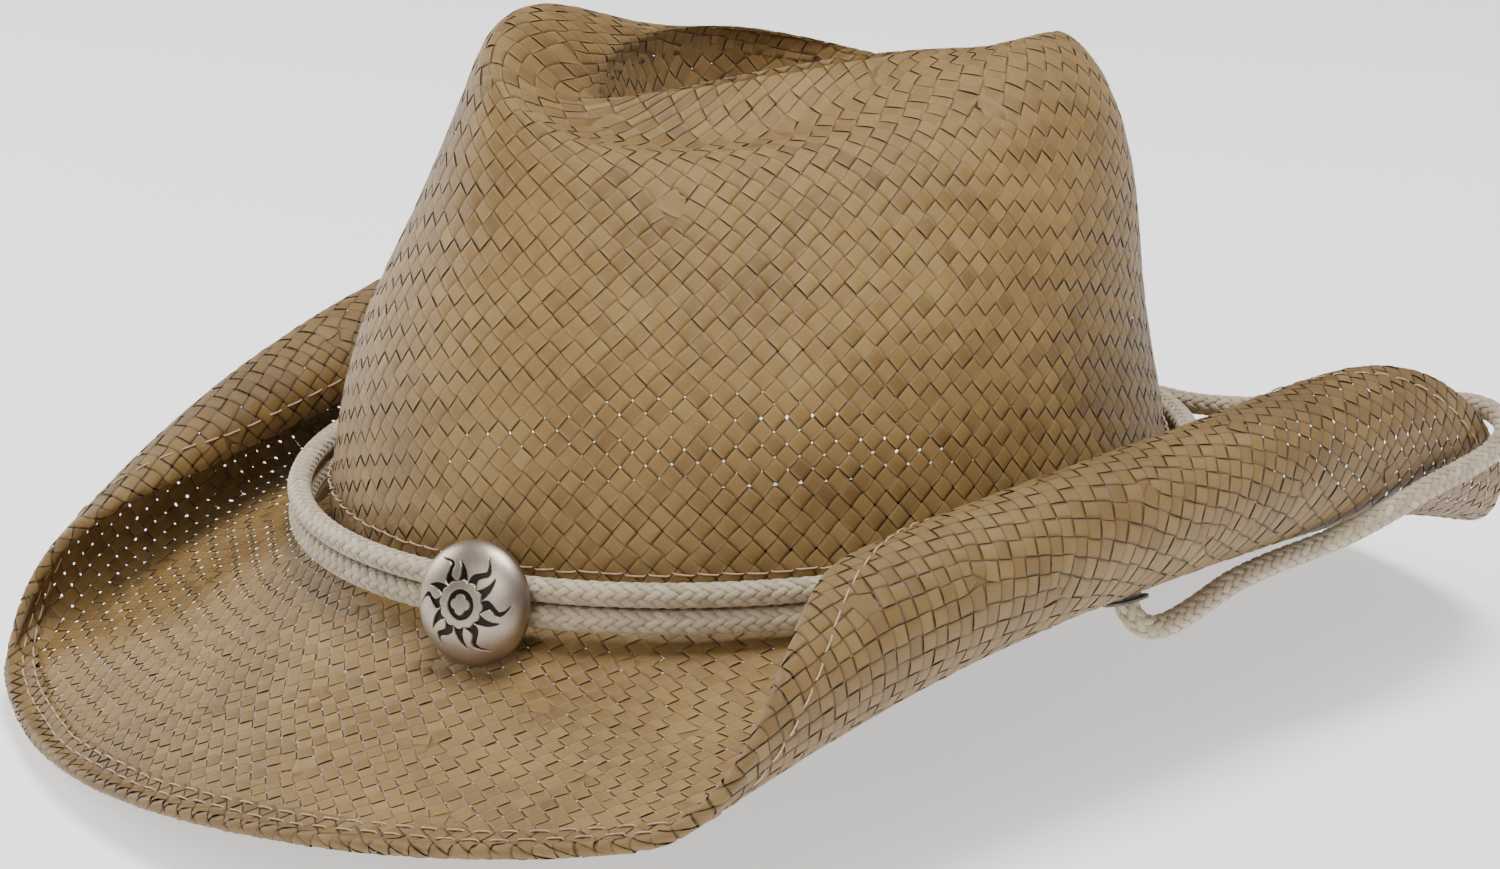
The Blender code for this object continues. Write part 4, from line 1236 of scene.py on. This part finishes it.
def camera():
    """The photograph's camera."""
    side = (math.sin(CAMERA_TURN), -math.cos(CAMERA_TURN))
    level = math.cos(CAMERA_HEIGHT)
    back = Vector((side[0] * level, side[1] * level, math.sin(CAMERA_HEIGHT)))
    right = Vector((math.cos(CAMERA_TURN), math.sin(CAMERA_TURN), 0))
    turned = Matrix((right, back.cross(right), back)).transposed().to_4x4()
    data = bpy.data.cameras.new("camera")
    data.lens = CAMERA_LENS
    data.sensor_fit = "HORIZONTAL"
    data.sensor_width = 36.0
    data.shift_x, data.shift_y = CAMERA_SHIFT
    data.clip_start = 0.02
    made = bpy.data.objects.new("camera", data)
    bpy.context.scene.collection.objects.link(made)
    roll = Matrix.Rotation(-CAMERA_ROLL, 4, "Z")
    made.matrix_world = Matrix.Translation(back * CAMERA_DISTANCE) @ turned @ roll
    bpy.context.scene.camera = made


def lights():
    """A soft white room and three round lamps."""
    world = bpy.data.worlds.new("studio")
    world.use_nodes = True
    sky = world.node_tree.nodes["Background"]
    sky.inputs["Color"].default_value = (1.0, 1.0, 1.0, 1.0)
    sky.inputs["Strength"].default_value = SKY_STRENGTH
    bpy.context.scene.world = world
    for name, (place, size, power) in LIGHTS.items():
        light = bpy.data.lights.new(name, "AREA")
        light.shape = "DISK"
        light.size = size
        light.energy = power
        lamp = bpy.data.objects.new(name, light)
        bpy.context.scene.collection.objects.link(lamp)
        lamp.matrix_world = frame_at(place, place, (0, 0.01, 1))


def floor_piece(low):
    """The pale floor at this height, faintly glowing so that it stays light."""
    n = Nodes("floor_white", 0.9)
    n.set({"Base Color": (0.93, 0.93, 0.93, 1.0)})
    n.set({"Emission Color": (1.0, 1.0, 1.0, 1.0), "Emission Strength": FLOOR_GLOW})
    corners = ((-1, -1), (1, -1), (1, 1), (-1, 1))
    points = np.array([(x * FLOOR_HALF, y * FLOOR_HALF, low) for x, y in corners])
    floor = piece_from("floor", points, [(0, 1, 2, 3)], n.material, smooth=False)
    floor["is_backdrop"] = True


def eyelet_frame(side):
    """A placing matrix on the brim at one eyelet, Z out of the straw."""
    angle, reach = (np.array(value) for value in EYELETS[side])
    here = brim_point(angle, reach)
    above = brim_offset(angle, reach, np.array(MM))
    return frame_at(here, above - here, (*foot_normal(angle), 0))


def chin_cords(cotton):
    """Both halves of the chin cord with their knots."""
    for side in ("left", "right"):
        line = smooth_route(CHIN_ROUTES[side])
        cord = braid_piece(f"chin_cord_{side}_braid", line, CORD_RADIUS, cotton)
        dress(cord, "hat", f"chin_cord_{side}")
        lift = EYELET_TOP + GAP + KNOT_HALF_HEIGHT
        place = eyelet_frame(side) @ Matrix.Translation((0, 0, lift))
        ahead = Vector(line[-1] - line[-4]).normalized()
        centre = Vector(line[-1]) + ahead * (GAP + END_KNOT_RADIUS)
        for node, radius, half, where in (
            (f"chin_knot_{side}", KNOT_RADIUS, KNOT_HALF_HEIGHT, place),
            (f"chin_end_knot_{side}", END_KNOT_RADIUS, END_KNOT_RADIUS, frame_at(centre, ahead)),
        ):
            route = knot_line(radius, half, where)
            knot = braid_piece(f"{node}_tied", route, KNOT_YARN_RADIUS, cotton, closed=True)
            dress(knot, "hat", node)


def band(cotton):
    """The two turns of the hatband, from the collar's one side round to its other."""
    angles = np.linspace(math.pi + BAND_END_ANGLE, 3 * math.pi - BAND_END_ANGLE, 900)
    for turn, node in enumerate(("hatband_cord_lower", "hatband_cord_upper")):
        cord = braid_piece(f"{node}_braid", band_centre(angles, turn), CORD_RADIUS, cotton)
        dress(cord, "hat", node)


def sun_mask(radius, turn):
    """Where the dome is cut away: 1 in the sun's rays and in the groove round its middle."""
    deep = np.zeros_like(radius)
    for ray in range(SUN_RAYS):
        end = SUN_RAY_ENDS[ray % 2]
        share = (radius - SUN_RAY_START) / (end - SUN_RAY_START)
        inner = np.clip(share, 0, 1)
        bend = 0.22 * inner**2 if ray % 2 else 0.11 * np.sin(2.4 * math.pi * inner)
        middle = ray * 2 * math.pi / SUN_RAYS + bend
        off = np.remainder(turn - middle + math.pi, 2 * math.pi) - math.pi
        half = SUN_RAY_HALF_WIDTH * (1 - inner) ** 0.8 / np.maximum(radius, MM)
        deep[(np.abs(off) < half) & (share > -0.25) & (share < 1)] = 1
    deep[radius < SUN_RING + SUN_SCALLOP * np.abs(np.cos(turn * 6))] = 0
    inside, outside = SUN_GROOVE
    deep[(radius < outside) & (radius > inside * (0.72 + 0.28 * np.abs(np.cos(turn * 2))))] = 1
    return deep


def concho(pewter):
    """The dome with its cut sunburst, hollow behind."""
    middle = sum(band_centre(np.array(CONCHO_ANGLE), turn) for turn in (0, 1)) / 2
    place = frame_at(middle, (*foot_normal(CONCHO_ANGLE), 0))
    place = place @ Matrix.Translation((0, 0, CONCHO_OUT)) @ Matrix.Rotation(-CONCHO_TILT, 4, "X")
    turn = np.arange(DOME_SIDES) * 2 * math.pi / DOME_SIDES
    inner_radius = CONCHO_RADIUS - CONCHO_WALL
    profile = []
    for radius in (*np.linspace(0.00002, 0.0098, 78), *np.linspace(0.0099, CONCHO_RADIUS, 22)):
        height = CONCHO_HEIGHT * math.sqrt(max(1 - min(radius / CONCHO_RADIUS, 1.0) ** 2, 0.0))
        mask = sun_mask(np.full(DOME_SIDES, radius), turn)
        profile.append((radius, height - SUN_DEPTH * mask, mask))
    for lean in np.linspace(0.0, math.pi / 2 - 0.01, 14):
        height = (CONCHO_HEIGHT - CONCHO_WALL) * math.sin(lean) + 0 * turn
        profile.append((inner_radius * math.cos(lean), height, np.full(DOME_SIDES, 0.35)))
    rows = [np.stack([r * np.cos(turn), r * np.sin(turn), height], axis=-1) for r, height, _ in profile]
    points = placed(np.array(rows).reshape(-1, 3), place)
    recess = np.array([mask for _, _, mask in profile])
    faces = tube_faces(len(rows), DOME_SIDES, False)
    dome = piece_from("concho_dome_sun", points, faces, pewter, values={"recess": recess})
    dress(dome, "concho", "concho_dome")


def straw(material, thread):
    """The woven crown and brim, a piece for each quarter, with their tucked ends, tape and stitches."""
    weave = GrownWeave(crown_surface(), CROWN_STRIP_PITCH, CROWN_WEAVE_SLANT)
    side = weave_pieces("crown_weave", weave, material, CROWN_WEAVE_LIFT, 11, crown_openness)
    flat = FlatWeave(STRIP_PITCH, DISH_WEAVE_FIRST_RISE)
    dish = weave_pieces("crown_dish_weave", flat, material, CROWN_WEAVE_LIFT, 12, closed_weave, [""])
    brim = GrownWeave(brim_surface(), STRIP_PITCH, BRIM_WEAVE_SLANT)
    rim = weave_pieces("brim_weave", brim, material, BRIM_WEAVE_LIFT, 13, brim_openness)
    side.append(weave.tucked_ends("crown_strip_ends", material, CROWN_WEAVE_LIFT))
    rim.append(brim.tucked_ends("brim_strip_ends", material, BRIM_WEAVE_LIFT))
    rim.append(seam_tape("brim_seam_tape", material))
    for piece in (*side, *dish):
        dress(piece, "hat", "crown")
    for piece in rim:
        dress(piece, "hat", "brim")
    for name, (from_edge, lift, seed) in HEM_ROWS.items():
        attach(hem_stitches(name, thread, from_edge, lift, seed), "hat")
    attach(crown_stitches("crown_seam_stitches", thread), "hat")


def crown_inside(angles, rise, inset):
    """Points this far in from the crown's outer surface."""
    around = crown_ring(angles + 0.002, rise) - crown_ring(angles - 0.002, rise)
    upward = crown_ring(angles, rise + 0.004) - crown_ring(angles, max(rise - 0.004, 0.0))
    return crown_ring(angles, rise) - unit(np.cross(around, upward)) * np.asarray(inset)[..., None]


def lining_piece(node, first, last, outside, wall, material, thread):
    """A strip of cloth inside the crown with rounded edges, a soft ripple and a row of stitches.

    It gives the cloth, the stitches, and the strip's flat width and length.
    """
    count = max(int((last - first) / 0.012), 24)
    angles = np.linspace(first, last, count)
    low, high = SWEATBAND_RISES
    sides = LINING_SECTION + tuple((share, 1 - deep) for share, deep in LINING_SECTION[-2:0:-1])
    ends = np.minimum(1, np.minimum(angles - first, last - angles) / (0.3 * SWEATBAND_SEAM))
    ripple = 0.12 * MM * np.sin(angles * 31) + 0.08 * MM * np.sin(angles * 67 + 1)
    sections = []
    for share, deep in sides:
        inset = outside + wall * (0.5 + (deep - 0.5) * ends) + ripple
        sections.append(crown_inside(angles, low + (high - low) * share, inset))
    points = np.stack(sections, axis=1)
    faces = tube_faces(count, len(sides), False)
    cloth = piece_from(f"{node}_cloth", points.reshape(-1, 3), faces, material)
    dress(cloth, "hat", node)

    run = run_along(points[:, 3])
    width = np.linalg.norm(np.diff(points[:, 2:6], axis=1), axis=2).sum(axis=1).mean()
    number = int(run[-1] / LINING_STITCH)
    begins = np.interp(np.arange(number) / number * run[-1], run, angles)
    stops = np.interp((np.arange(number) + LINING_STITCH_SHARE) / number * run[-1], run, angles)
    level = low + (high - low) * 0.12
    face = outside + wall + 0.12 * MM + 0 * begins
    starts = crown_inside(begins, level, face)
    normals = unit(crown_inside(begins, level, face + MM) - starts)
    ends = (starts, crown_inside(stops, level, face), normals)
    stitches = stitch_row(f"{node}_stitches", ends, thread, LINING_STITCH_RADIUS)
    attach(stitches, "hat")
    return cloth, stitches, (round(float(width), 4), round(float(run[-1]), 4))


def sweatband(thread):
    """The band that touches the head, and the tape over its seam at the back."""
    twill = twill_material("sweatband_twill", (0.012, 0.010, 0.008), (0.045, 0.036, 0.028))
    tape = twill_material("tape_twill", (0.020, 0.016, 0.012), (0.060, 0.050, 0.040))
    outside = CROWN_WALL + GAP
    first, last = math.pi + SWEATBAND_SEAM, 3 * math.pi - SWEATBAND_SEAM
    cloth, stitches, flat = lining_piece("sweatband", first, last, outside, SWEATBAND_WALL, twill, thread)
    outside += SWEATBAND_WALL + GAP
    first, last = math.pi - TAPE_HALF_ANGLE, math.pi + TAPE_HALF_ANGLE
    over = lining_piece("sweatband_tape", first, last, outside, TAPE_WALL, tape, thread)


def finish_frame_nodes():
    """Better materials for the frame's own nodes that stay in sight."""
    dark = plain_metal("antique_brass", (0.10, 0.085, 0.07), (0.30, 0.27, 0.23), 0.4)
    pewter = plain_metal("plain_pewter", (0.30, 0.28, 0.25), (0.50, 0.48, 0.45), 0.4)
    looks = {"brim_wire": paper_wire_material(), "chin_slider": wood_material()}
    looks.update(dict.fromkeys(("concho_loop", "concho_rivet"), pewter))
    eyelets = [f"{kind}_{side}" for kind in ("eyelet", "eyelet_washer") for side in ("left", "right")]
    looks.update(dict.fromkeys(("hatband_collar", *eyelets), dark))
    for node, look in looks.items():
        data = bpy.data.objects[node].data
        data.materials.clear()
        data.materials.append(look)


def main():
    for old in list(bpy.data.objects):
        bpy.data.objects.remove(old, do_unlink=True)
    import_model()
    frame_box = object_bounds()
    camera()
    lights()
    cotton = cotton_material()
    chin_cords(cotton)
    band(cotton)
    thread = thread_material()
    straw(straw_material(), thread)
    sweatband(thread)
    concho(pewter_material())
    finish_frame_nodes()
    floor_piece(frame_box[0][2] - FLOOR_GAP)
    bpy.context.view_layer.update()


main()
